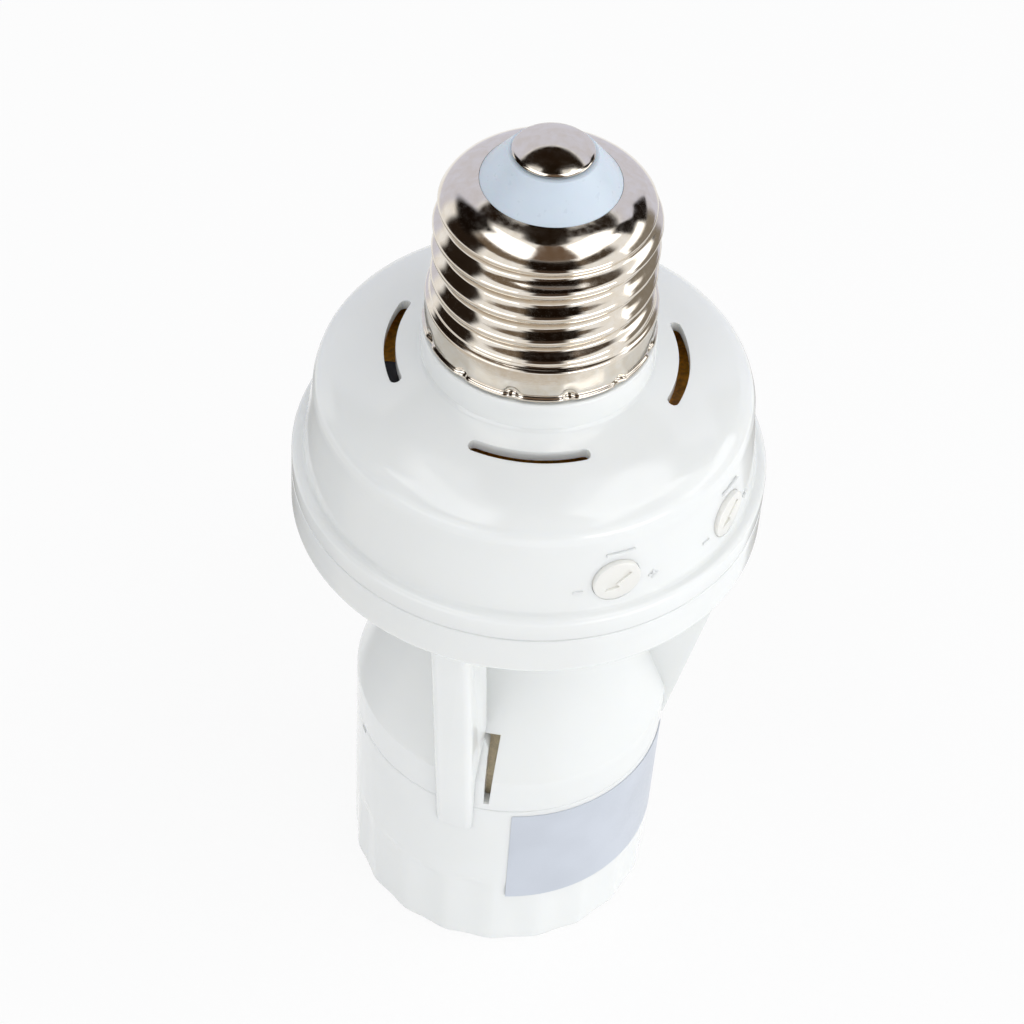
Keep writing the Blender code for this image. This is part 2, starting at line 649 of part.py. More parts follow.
def radial_hole(name, radius, near, far, azimuth, z):
    """Cylinder that lies along a radius, between two distances from the axis."""
    mesh = bpy.data.meshes.new(name)
    shape = bmesh.new()
    bmesh.ops.create_cone(shape, cap_ends=True, segments=SMALL_STEPS, radius1=radius, radius2=radius,
                          depth=far - near)
    shape.to_mesh(mesh)
    shape.free()
    obj = place(name, mesh, location=polar(0.5 * (near + far), azimuth, z), azimuth=azimuth)
    obj.rotation_euler.x = math.radians(90)
    return obj


def make_upper_housing(plastic):
    """Domed cover: cap spigot, vents, trimmer holes, board bosses and snap lip."""
    housing = turned("upper_housing", upper_housing_profile(), HOUSING_STEPS, plastic)
    boss_top = COLLAR_FOOT_Z - 0.82 * DOME_RISE
    for azimuth in BOSS_AZIMUTHS.values():
        centre = polar(BOSS_CENTRE_RADIUS, azimuth, 0.0)
        combine(housing, drill("boss", BOSS_RADIUS, BOARD_TOP_Z + SEAT_GAP, boss_top, centre), "UNION")
        hole_top = BOARD_TOP_Z + SEAT_GAP + SCREW_GRIP
        combine(housing, drill("pilot", BOSS_HOLE_RADIUS, BOARD_TOP_Z - OVERSHOOT, hole_top, centre),
                "DIFFERENCE")
    for azimuth in VENT_AZIMUTHS:
        combine(housing, vent_cutter(azimuth), "DIFFERENCE")
    for azimuth in KNOB_AZIMUTHS.values():
        hole = radial_hole("knob_hole", KNOB_RADIUS + CLEARANCE, TRIMMER_FACE_RADIUS, RING_RADIUS + OVERSHOOT,
                           azimuth, KNOB_Z)
        combine(housing, hole, "DIFFERENCE")
    smooth(housing.data)


def lower_housing_profile():
    """Profile of the ring, its floor, the hollow neck, the shoulder and the spigot."""
    ring_top = PARTING_Z - SEAT_GAP
    ring_bore = RING_RADIUS - RING_WALL
    snap_z = PARTING_Z - SNAP_DROP
    outer = [(RING_RADIUS - 3 * EDGE_BREAK, ring_top), (RING_RADIUS - EDGE_BREAK, ring_top - EDGE_BREAK),
             (RING_RADIUS, RING_Z + 3 * EDGE_BREAK), (RING_RADIUS - EDGE_BREAK, RING_Z + 0.5 * EDGE_BREAK),
             (RING_RADIUS - 3 * EDGE_BREAK, RING_Z), (NECK_TOP_RADIUS + NECK_FILLET, RING_Z),
             (NECK_TOP_RADIUS + EDGE_BREAK, RING_Z - 0.7 * NECK_FILLET), (NECK_TOP_RADIUS, NECK_CONE_TOP_Z),
             (neck_radius(SHOULDER_Z + NECK_FILLET), SHOULDER_Z + NECK_FILLET),
             (SHOULDER_RADIUS - 0.6 * EDGE_BREAK, SHOULDER_Z + EDGE_BREAK),
             (SHOULDER_RADIUS, SHOULDER_Z - 0.7 * NECK_FILLET),
             (SHOULDER_RADIUS - 0.3 * SHOULDER_LIP, BARREL_HEIGHT),
             (INSERT_RADIUS, BARREL_HEIGHT), (INSERT_RADIUS, SPIGOT_FOOT_Z + EDGE_BREAK),
             (INSERT_RADIUS - EDGE_BREAK, SPIGOT_FOOT_Z)]
    inner = [(SPIGOT_BORE, SPIGOT_FOOT_Z), (SPIGOT_BORE, BARREL_HEIGHT + 0.7 * NECK_FILLET),
             (SHOULDER_BORE, BARREL_HEIGHT + NECK_FILLET), (SHOULDER_BORE, SHOULDER_Z - EDGE_ROUND),
             (NECK_BORE, NECK_CONE_TOP_Z - EDGE_ROUND), (NECK_BORE, FLOOR_TOP_Z), (ring_bore, FLOOR_TOP_Z),
             (ring_bore, snap_z - SNAP_HALF_WIDTH), (ring_bore + SNAP_HEIGHT, snap_z),
             (ring_bore, snap_z + SNAP_HALF_WIDTH), (ring_bore, ring_top)]
    return outer + inner


def leg(name, azimuth):
    """Leg from the ring down over the seam, merged with the neck at its foot."""
    top = RING_Z + 0.5 * FLOOR_THICKNESS
    bury = 0.5 * NECK_WALL
    foot_inner = LEG_FOOT_RADIUS - LEG_FOOT_THICKNESS
    cone_slope = (SHOULDER_RADIUS - NECK_TOP_RADIUS) / (NECK_CONE_TOP_Z - SHOULDER_Z)
    inner_at_shoulder = leg_radius(SHOULDER_Z) - LEG_DEPTH
    rise = (SHOULDER_RADIUS - bury - inner_at_shoulder) / (cone_slope + LEG_SLOPE)
    meet_z = SHOULDER_Z + rise
    outline = [(leg_radius(top), top), (leg_radius(LEG_FOOT_Z), LEG_FOOT_Z), (foot_inner, LEG_FOOT_Z),
               (foot_inner, SHOULDER_Z), (leg_radius(meet_z) - LEG_DEPTH, meet_z),
               (leg_radius(top) - LEG_DEPTH, top)]
    mesh = bpy.data.meshes.new(name)
    shape = bmesh.new()
    face = shape.faces.new([shape.verts.new((-0.5 * LEG_WIDTH, -r, z)) for r, z in outline])
    grown = bmesh.ops.extrude_face_region(shape, geom=[face])
    moved = [item for item in grown["geom"] if isinstance(item, bmesh.types.BMVert)]
    bmesh.ops.translate(shape, verts=moved, vec=(LEG_WIDTH, 0.0, 0.0))
    bmesh.ops.recalc_face_normals(shape, faces=shape.faces)
    outer_edges = [edge for edge in shape.edges
                   if abs(edge.verts[0].co.x - edge.verts[1].co.x) < 1e-6
                   and all(abs(v.co.y + leg_radius(v.co.z)) < 1e-6 for v in edge.verts)]
    bmesh.ops.bevel(shape, geom=outer_edges, offset=LEG_ROUND, segments=2, profile=0.5,
                    affect="EDGES")
    shape.to_mesh(mesh)
    shape.free()
    return place(name, mesh, azimuth=azimuth)


def wedge(name, start, end, inset, low, high):
    """Upright wedge between two azimuths, its faces moved in by an inset."""
    middle = 0.5 * (start + end)
    half = 0.5 * (end - start)
    tip = inset / math.sin(math.radians(half))
    apex = polar(tip, middle, 0.0)
    reach = 2.0 * RING_RADIUS
    mesh = bpy.data.meshes.new(name)
    shape = bmesh.new()
    plan = [apex, apex + polar(reach, start, 0.0), apex + polar(reach, end, 0.0)]
    face = shape.faces.new([shape.verts.new((point.x, point.y, low)) for point in plan])
    grown = bmesh.ops.extrude_face_region(shape, geom=[face])
    moved = [item for item in grown["geom"] if isinstance(item, bmesh.types.BMVert)]
    bmesh.ops.translate(shape, verts=moved, vec=(0.0, 0.0, high - low))
    bmesh.ops.recalc_face_normals(shape, faces=shape.faces)
    shape.to_mesh(mesh)
    shape.free()
    return place(name, mesh)


def pod():
    """Wing between the ring and the shoulder, cut from a turned ring by a wedge."""
    top = RING_Z + 0.5 * FLOOR_THICKNESS
    bury = 0.5 * NECK_WALL
    section = [(pod_radius(top), top), (POD_FOOT_RADIUS, POD_FOOT_Z),
               (SHOULDER_RADIUS - bury, POD_FOOT_Z), (SHOULDER_RADIUS - bury, SHOULDER_Z),
               (NECK_TOP_RADIUS - bury, NECK_CONE_TOP_Z), (NECK_TOP_RADIUS - bury, top)]
    body = turned("pod", section, HOUSING_STEPS)
    combine(body, wedge("pod_wedge", POD_START_AZIMUTH, POD_END_AZIMUTH, 0.0, 0.0, COLLAR_TOP_Z),
            "INTERSECT")
    return body


def pod_hollow():
    """Space inside the pod, open to the ring above it."""
    top = FLOOR_TOP_Z + OVERSHOOT
    inner_face = NECK_TOP_RADIUS + POD_NECK_GAP
    section = [(pod_radius(RING_Z) - POD_WALL, top), (pod_radius(RING_Z) - POD_WALL, RING_Z),
               (pod_radius(POD_HOLLOW_Z) - POD_WALL, POD_HOLLOW_Z),
               (neck_radius(POD_HOLLOW_Z) + EDGE_BREAK, POD_HOLLOW_Z),
               (inner_face, NECK_CONE_TOP_Z - POD_THROAT), (inner_face, top)]
    space = turned("pod_hollow", section, HOUSING_STEPS)
    combine(space, wedge("hollow_wedge", POD_START_AZIMUTH, POD_END_AZIMUTH, POD_WALL, 0.0, COLLAR_TOP_Z),
            "INTERSECT")
    return space


def slit_cutter():
    """Narrow seven-shaped slit beside the front leg."""
    stem = 0.5 * SLIT_STEM_WIDTH
    head = SLIT_HEAD_WIDTH - stem
    shoulder_z = SLIT_TOP_Z - SLIT_HEAD_HEIGHT
    outline = [(-stem, SLIT_FOOT_Z), (stem, SLIT_FOOT_Z), (stem + SLIT_FLARE, SLIT_TOP_Z),
               (-head, SLIT_TOP_Z), (-head + 0.5 * SLIT_FLARE, SLIT_TOP_Z - 1.5 * SLIT_FLARE),
               (-stem, shoulder_z)]
    return prism("slit_cutter", outline, -RING_RADIUS, -INSERT_UPPER_RADIUS, azimuth=SLIT_AZIMUTH)


def make_lower_housing(plastic):
    """Ring, floor, neck and shoulder in one moulding with two legs and the sensor pod."""
    housing = turned("lower_housing", lower_housing_profile(), HOUSING_STEPS, plastic)
    combine(housing, pod(), "UNION")
    for name, azimuth in LEG_AZIMUTHS.items():
        combine(housing, leg("leg_" + name, azimuth), "UNION")
    for side in (-1, 1):
        spot = polar(SENSOR_POST_CENTRE, LENS_AZIMUTH, 0.0) + polar(
            side * SENSOR_POST_SPREAD, LENS_AZIMUTH + 90.0, 0.0)
        combine(housing, drill("post", SENSOR_POST_RADIUS, FLOOR_TOP_Z - 0.5 * OVERSHOOT,
                               SENSOR_BOARD_Z - SEAT_GAP, spot), "UNION")
    combine(housing, pod_hollow(), "DIFFERENCE")
    combine(housing, drill("lens_hole", LENS_RADIUS + CLEARANCE, RING_Z - OVERSHOOT, FLOOR_TOP_Z + OVERSHOOT,
                           polar(LENS_CENTRE_RADIUS, LENS_AZIMUTH, 0.0), steps=24), "DIFFERENCE")
    combine(housing, drill("light_hole", LIGHT_SENSOR_RADIUS + CLEARANCE, RING_Z - OVERSHOOT,
                           FLOOR_TOP_Z + OVERSHOOT, polar(LENS_CENTRE_RADIUS, LIGHT_SENSOR_AZIMUTH, 0.0)),
            "DIFFERENCE")
    combine(housing, slit_cutter(), "DIFFERENCE")
    smooth(housing.data)


def make_insulating_sleeve(board):
    """Sleeve of rolled board that stands on the shoulder's ledge and shows through the slit."""
    top = SLIT_TOP_Z + SLEEVE_MARGIN
    line = [(neck_bore_radius(top), top), (SHOULDER_BORE, SHOULDER_Z - EDGE_ROUND),
            (SHOULDER_BORE, BARREL_HEIGHT + NECK_FILLET + SEAT_GAP)]
    outer = [(radius - CLEARANCE, z) for radius, z in line]
    inner = [(radius - SLEEVE_THICKNESS, z) for radius, z in reversed(outer)]
    smooth(turned("insulating_sleeve", outer + inner, LAMP_STEPS, board).data)


def make_socket_barrel(plastic):
    """Fluted barrel with the ledge that carries the insert and seats for the legs' feet."""
    top = BARREL_HEIGHT - SEAT_GAP
    bore = BARREL_TOP_RADIUS - BARREL_WALL
    ledge = bore - BARREL_LEDGE_WIDTH
    slope = (BARREL_TOP_RADIUS - BARREL_FOOT_RADIUS) / top

    def wall(z):
        return BARREL_FOOT_RADIUS + slope * z

    profile = [(BARREL_TOP_RADIUS - EDGE_BREAK, top), (BARREL_TOP_RADIUS, top - EDGE_BREAK),
               (wall(FLUTE_HEIGHT + OVERSHOOT), FLUTE_HEIGHT + OVERSHOOT), (wall(FLUTE_HEIGHT), FLUTE_HEIGHT),
               (wall(RIM_ROUND), RIM_ROUND), (BARREL_FOOT_RADIUS - RIM_ROUND, 0.0),
               (ledge + EDGE_ROUND, 0.0), (ledge, EDGE_ROUND), (ledge, BARREL_LEDGE_HEIGHT),
               (bore, BARREL_LEDGE_HEIGHT), (bore, top)]
    barrel = apply_modifiers(turned("socket_barrel", profile, 2 * FLUTE_COUNT, plastic))
    for vertex in barrel.data.vertices:
        x, y, z = vertex.co
        share = math.atan2(x, -y) / math.tau * FLUTE_COUNT
        if math.hypot(x, y) > bore + OVERSHOOT and RIM_ROUND / 2 < z < FLUTE_HEIGHT + EDGE_ROUND:
            if abs(share - round(share)) < 0.25:
                scale = 1.0 - FLUTE_DEPTH / math.hypot(x, y)
                vertex.co = (x * scale, y * scale, z)
    seat_depth = LEG_FOOT_RADIUS - LEG_FOOT_THICKNESS - CLEARANCE
    seat_height = BARREL_HEIGHT - LEG_FOOT_Z + 2 * CLEARANCE
    for azimuth in LEG_AZIMUTHS.values():
        seat = block("leg_seat", (LEG_WIDTH + 2 * CLEARANCE, BARREL_WALL, seat_height),
                     (0.0, seat_depth + 0.5 * BARREL_WALL, LEG_FOOT_Z - CLEARANCE + 0.5 * seat_height),
                     azimuth=azimuth)
        combine(barrel, seat, "DIFFERENCE")
    notch = block("seam_notch", (SEAM_NOTCH_WIDTH, 2 * SEAM_NOTCH_DEPTH, 2 * SEAM_NOTCH_HEIGHT),
                  (0.0, BARREL_TOP_RADIUS, top), azimuth=SEAM_NOTCH_AZIMUTH)
    combine(barrel, notch, "DIFFERENCE")
    smooth(barrel.data)


def make_socket_insert(phenolic):
    """Moulded carrier of the lamp contacts: socket cup below, wiring chamber above."""
    foot = BARREL_LEDGE_HEIGHT + SEAT_GAP
    chamber = INSERT_UPPER_RADIUS - INSERT_CHAMBER_WALL
    profile = [(0.0, INSERT_FLOOR_Z), (chamber, INSERT_FLOOR_Z), (chamber, INSERT_TOP_Z),
               (INSERT_UPPER_RADIUS - INSERT_TAPER_WIDTH, INSERT_TOP_Z),
               (INSERT_UPPER_RADIUS, INSERT_TOP_Z - INSERT_TAPER_HEIGHT),
               (INSERT_UPPER_RADIUS, INSERT_STEP_Z),
               (INSERT_RADIUS, INSERT_STEP_Z), (INSERT_RADIUS, foot), (INSERT_BORE, foot),
               (INSERT_BORE, INSERT_CEILING_Z), (0.0, INSERT_CEILING_Z)]
    insert = turned("socket_insert", profile, 24, phenolic)
    for radius, azimuth in ((SHELL_RIVET_RADIUS, 90.0), (ANCHOR_RIVET_RADIUS, -90.0)):
        hole = drill("rivet_hole", RIVET_RADIUS + CLEARANCE, INSERT_CEILING_Z - OVERSHOOT,
                     INSERT_FLOOR_Z + OVERSHOOT, polar(radius, azimuth, 0.0), steps=12)
        combine(insert, hole, "DIFFERENCE")
    smooth(insert.data)


def make_socket_shell(metal):
    """Rolled sheet lamp socket with a flange that is riveted under the insert's base."""
    top = INSERT_CEILING_Z - SEAT_GAP
    foot = LAMP_SHELL_FOOT_Z
    thread_top = top - LAMP_THREAD_DROP
    rows = round((thread_top - foot) / THREAD_PITCH * (ROWS_PER_TURN - 0.4))
    heights = ladder(foot, thread_top, rows)
    outer_radius = LAMP_THREAD_RADIUS + LAMP_SHEET
    outer = [(LAMP_SHELL_HOLE_RADIUS, top), (outer_radius - LAMP_SHELL_BEND, top)]
    outer += [(outer_radius, z) for z in heights]
    inner = [(LAMP_THREAD_RADIUS, z) for z in reversed(heights)]
    inner += [(LAMP_THREAD_RADIUS - LAMP_SHELL_BEND, top - LAMP_SHEET),
              (LAMP_SHELL_HOLE_RADIUS, top - LAMP_SHEET)]
    shell = apply_modifiers(turned("socket_shell", outer + inner, LAMP_STEPS, metal))
    press_thread(shell.data, foot, thread_top, LAMP_THREAD_DEPTH, 0.0)
    hole = drill("flange_hole", RIVET_RADIUS + CLEARANCE, top - 2 * OVERSHOOT, top + OVERSHOOT,
                 polar(SHELL_RIVET_RADIUS, 90.0, 0.0), steps=12)
    combine(shell, hole, "DIFFERENCE")
    smooth(shell.data, 60.0)


def rivet_profile(head_top):
    """Profile of a rivet with its head below the base and its stub in the chamber."""
    head_foot = head_top - RIVET_HEAD_HEIGHT
    return [(0.0, INSERT_FLOOR_Z + RIVET_HEIGHT), (RIVET_RADIUS, INSERT_FLOOR_Z + RIVET_HEIGHT),
            (RIVET_RADIUS, head_top), (RIVET_HEAD_RADIUS, head_top), (RIVET_HEAD_RADIUS, head_foot),
            (0.0, head_foot)]


def make_shell_rivet(metal):
    """Rivet that holds the socket shell and carries the neutral wire's tag."""
    head_top = INSERT_CEILING_Z - SEAT_GAP - LAMP_SHEET - SEAT_GAP
    rivet = turned("shell_rivet", rivet_profile(head_top), 12, metal, polar(SHELL_RIVET_RADIUS, 90.0, 0.0))
    tag_foot = INSERT_FLOOR_Z + SEAT_GAP
    tag = block("neutral_tag", (TAG_WIDTH, TAG_THICKNESS, TAG_HEIGHT),
                (0.0, SHELL_RIVET_RADIUS, tag_foot + 0.5 * TAG_HEIGHT), azimuth=90.0)
    combine(rivet, tag, "UNION")


def make_contact_anchor(metal):
    """Riveted foot of the centre contact with the live wire's tag."""
    plate_top = INSERT_CEILING_Z - SEAT_GAP
    anchor = turned("contact_anchor", rivet_profile(plate_top), 12, metal,
                    polar(ANCHOR_RIVET_RADIUS, -90.0, 0.0))
    near = -TONGUE_PIVOT_X + CLEARANCE
    far = 2 * ANCHOR_RIVET_RADIUS - near
    plate = block("anchor_plate", (TONGUE_WIDTH, far - near, ANCHOR_PLATE_THICKNESS),
                  (0.0, 0.5 * (near + far), plate_top - 0.5 * ANCHOR_PLATE_THICKNESS), azimuth=-90.0)
    combine(anchor, plate, "UNION")
    tag_foot = INSERT_FLOOR_Z + SEAT_GAP
    tag = block("live_tag", (TAG_WIDTH, TAG_THICKNESS, TAG_HEIGHT),
                (0.0, ANCHOR_RIVET_RADIUS, tag_foot + 0.5 * TAG_HEIGHT), azimuth=-90.0)
    combine(anchor, tag, "UNION")


def make_contact_tongue(metal):
    """Springy tongue that presses on the lamp's centre contact."""
    pivot_z = INSERT_CEILING_Z - SEAT_GAP - 0.5 * ANCHOR_PLATE_THICKNESS
    reach = TONGUE_REACH - TONGUE_PIVOT_X
    side = [(0.0, 0.0), (0.18 * reach, -0.30 * TONGUE_DROP), (0.40 * reach, -0.82 * TONGUE_DROP),
            (0.55 * reach, -TONGUE_DROP), (0.72 * reach, -0.90 * TONGUE_DROP), (reach, -0.60 * TONGUE_DROP)]
    mesh = bpy.data.meshes.new("contact_tongue")
    shape = bmesh.new()
    near = [shape.verts.new((x, -0.5 * TONGUE_WIDTH, z)) for x, z in side]
    edges = [shape.edges.new(pair) for pair in zip(near, near[1:])]
    grown = bmesh.ops.extrude_edge_only(shape, edges=edges)
    moved = [item for item in grown["geom"] if isinstance(item, bmesh.types.BMVert)]
    bmesh.ops.translate(shape, verts=moved, vec=(0.0, TONGUE_WIDTH, 0.0))
    bmesh.ops.recalc_face_normals(shape, faces=shape.faces)
    shape.to_mesh(mesh)
    shape.free()
    tongue = place("contact_tongue", mesh, metal, (TONGUE_PIVOT_X, 0.0, pivot_z))
    sheet = tongue.modifiers.new("Sheet", "SOLIDIFY")
    sheet.thickness = TONGUE_THICKNESS
    sheet.offset = 0.0


def make_circuit_board(laminate):
    """Round board screwed to the housing's bosses."""
    board = drill("circuit_board", BOARD_RADIUS, BOARD_FOOT_Z, BOARD_TOP_Z, Vector((0.0, 0.0, 0.0)),
                  laminate, BOARD_STEPS)
    for azimuth in BOSS_AZIMUTHS.values():
        hole = drill("screw_hole", BOSS_HOLE_RADIUS, BOARD_FOOT_Z - OVERSHOOT, BOARD_TOP_Z + OVERSHOOT,
                     polar(BOSS_CENTRE_RADIUS, azimuth, 0.0), steps=12)
        combine(board, hole, "DIFFERENCE")


def make_board_screw(side, azimuth, metal):
    """Self-tapping screw whose head bears on the board's component side."""
    head_top = BOARD_FOOT_Z - SEAT_GAP
    tip = BOARD_TOP_Z + SCREW_GRIP - EDGE_BREAK
    profile = [(0.0, tip + EDGE_ROUND), (0.4 * SCREW_RADIUS, tip + EDGE_BREAK),
               (SCREW_RADIUS, tip - EDGE_ROUND),
               (SCREW_RADIUS, head_top), (SCREW_HEAD_RADIUS, head_top),
               (SCREW_HEAD_RADIUS, head_top - 0.6 * SCREW_HEAD_HEIGHT),
               (0.6 * SCREW_HEAD_RADIUS, head_top - SCREW_HEAD_HEIGHT), (0.0, head_top - SCREW_HEAD_HEIGHT)]
    screw = turned("board_screw_" + side, profile, 12, metal, polar(BOSS_CENTRE_RADIUS, azimuth, 0.0))
    smooth(screw.data)


def hang_block(name, size, radius, azimuth, surface, edge=EDGE_ROUND):
    """Box-shaped component under the circuit board."""
    return block(name, size, (0.0, radius, COMPONENT_TOP_Z - 0.5 * size[2]), surface, azimuth, edge)


def make_components(surfaces):
    """Mains capacitor, relay, smoothing capacitor and dropper resistor."""
    hang_block("film_capacitor", FILM_CAPACITOR_SIZE, FILM_CAPACITOR_CENTRE, FILM_CAPACITOR_AZIMUTH,
               surfaces["film"])
    hang_block("relay", RELAY_SIZE, RELAY_CENTRE, RELAY_AZIMUTH, surfaces["relay"])
    can_foot = COMPONENT_TOP_Z - CAN_CAPACITOR_HEIGHT
    can = turned("electrolytic_capacitor",
                 [(0.0, COMPONENT_TOP_Z), (CAN_CAPACITOR_RADIUS, COMPONENT_TOP_Z),
                  (CAN_CAPACITOR_RADIUS, can_foot + EDGE_ROUND),
                  (CAN_CAPACITOR_RADIUS - EDGE_ROUND, can_foot), (0.0, can_foot)],
                 SMALL_STEPS, surfaces["sleeve"], polar(CAN_CAPACITOR_CENTRE, CAN_CAPACITOR_AZIMUTH, 0.0))
    smooth(can.data)
    resistor = turned("dropper_resistor",
                      [(0.0, 0.5 * RESISTOR_LENGTH), (RESISTOR_RADIUS, 0.5 * RESISTOR_LENGTH),
                       (RESISTOR_RADIUS, -0.5 * RESISTOR_LENGTH), (0.0, -0.5 * RESISTOR_LENGTH)],
                      12, surfaces["resistor"],
                      polar(RESISTOR_CENTRE, RESISTOR_AZIMUTH, COMPONENT_TOP_Z - RESISTOR_RADIUS))
    resistor.rotation_euler = (math.radians(90), 0.0, math.radians(90 + RESISTOR_AZIMUTH))
    smooth(resistor.data)


def make_knob(name, azimuth, plastic):
    """Trimmer knob with an arrow-shaped driver slot; its origin is on its axis."""
    face = WALL_TOP_RADIUS + (WALL_FOOT_RADIUS - WALL_TOP_RADIUS) * (
        (CREASE_Z - KNOB_Z) / WALL_HEIGHT) + KNOB_PROUD
    back = face - KNOB_THICKNESS
    tip = TRIMMER_FACE_RADIUS + CLEARANCE
    profile = [(0.0, face), (KNOB_RADIUS - EDGE_BREAK, face), (KNOB_RADIUS, face - EDGE_BREAK),
               (KNOB_RADIUS, back), (KNOB_SHAFT_RADIUS, back), (KNOB_SHAFT_RADIUS, tip), (0.0, tip)]
    knob = turned(name + "_knob", [(radius, depth - face) for radius, depth in profile], 24, plastic)
    knob.location = polar(face, azimuth, KNOB_Z)
    knob.rotation_euler = (math.radians(90), 0.0, math.radians(azimuth))
    half = 0.5 * KNOB_SLOT_WIDTH
    arrow = [(-half, -0.55 * KNOB_RADIUS), (half, -0.55 * KNOB_RADIUS), (half, 0.05 * KNOB_RADIUS),
             (2.1 * half, 0.05 * KNOB_RADIUS), (0.0, 0.68 * KNOB_RADIUS), (-2.1 * half, 0.05 * KNOB_RADIUS),
             (-half, 0.05 * KNOB_RADIUS)]
    slot = prism(name + "_slot", arrow, -KNOB_SLOT_DEPTH, KNOB_SLOT_DEPTH)
    slot.parent = knob
    slot.rotation_euler = (math.radians(-90), 0.0, math.radians(180.0 - KNOB_POINTER))
    combine(knob, slot, "DIFFERENCE")
    smooth(knob.data)


def make_trimmer(name, azimuth, surface):
    """Trimmer potentiometer behind its knob."""
    hang_block(name + "_trimmer", TRIMMER_SIZE, TRIMMER_FACE_RADIUS - 0.5 * TRIMMER_SIZE[1], azimuth, surface)


def make_sensor_group(surfaces):
    """Sensor board on its posts, header, infrared sensor, light sensor and lens."""
    width, depth, thickness = SENSOR_BOARD_SIZE
    block("sensor_board", SENSOR_BOARD_SIZE, (0.0, SENSOR_BOARD_CENTRE, SENSOR_BOARD_Z + 0.5 * thickness),
          surfaces["laminate"], LENS_AZIMUTH)
    header_foot = SENSOR_BOARD_Z + thickness + SEAT_GAP
    header_height = COMPONENT_TOP_Z - header_foot
    block("sensor_header", (*SENSOR_HEADER_SIZE, header_height),
          (0.0, SENSOR_HEADER_CENTRE, header_foot + 0.5 * header_height), surfaces["relay"], LENS_AZIMUTH)
    centre = polar(LENS_CENTRE_RADIUS, LENS_AZIMUTH, 0.0)
    brim_top = SENSOR_BOARD_Z - SEAT_GAP
    brim_foot = brim_top - SENSOR_BRIM_THICKNESS
    can_foot = brim_top - SENSOR_CAN_HEIGHT
    can = turned("pir_sensor", [(0.0, brim_top), (SENSOR_BRIM_RADIUS, brim_top),
                                (SENSOR_BRIM_RADIUS, brim_foot), (SENSOR_CAN_RADIUS, brim_foot),
                                (SENSOR_CAN_RADIUS, can_foot + EDGE_BREAK),
                                (SENSOR_CAN_RADIUS - EDGE_BREAK, can_foot), (0.0, can_foot)],
                 SMALL_STEPS, surfaces["metal"], centre)
    smooth(can.data)
    make_lens(centre, surfaces["lens"])
    nose = RING_Z + FLOOR_THICKNESS - LIGHT_SENSOR_NOSE
    flange_foot = FLOOR_TOP_Z + SEAT_GAP
    flange_top = flange_foot + LIGHT_SENSOR_FLANGE_THICKNESS
    light = turned("light_sensor", [(0.0, flange_top), (LIGHT_SENSOR_FLANGE_RADIUS, flange_top),
                                    (LIGHT_SENSOR_FLANGE_RADIUS, flange_foot),
                                    (LIGHT_SENSOR_RADIUS, flange_foot), (LIGHT_SENSOR_RADIUS, nose),
                                    (0.0, nose)],
                   SMALL_STEPS, surfaces["light"], polar(LENS_CENTRE_RADIUS, LIGHT_SENSOR_AZIMUTH, 0.0))
    smooth(light.data)


def make_lens(centre, surface):
    """Domed lens whose flange rests on the ring's floor."""
    flange_foot = FLOOR_TOP_Z + SEAT_GAP
    flange_top = flange_foot + LENS_FLANGE_THICKNESS
    spring_z = RING_Z - LENS_STRAIGHT
    inner = LENS_RADIUS - LENS_WALL
    flange = LENS_RADIUS + LENS_FLANGE_WIDTH
    profile = [(flange, flange_top), (flange, flange_foot), (LENS_RADIUS, flange_foot)]
    profile += arc((0.0, spring_z), LENS_RADIUS, 0.0, -72.0, 4)
    profile.append((0.0, spring_z - LENS_RADIUS))
    bowl = [(0.0, spring_z - inner)]
    bowl += arc((0.0, spring_z), inner, -72.0, 0.0, 4)
    bowl.append((inner, flange_top))
    lens = turned("fresnel_lens", [*bowl, *profile], SMALL_STEPS, surface, centre)
    smooth(lens.data)


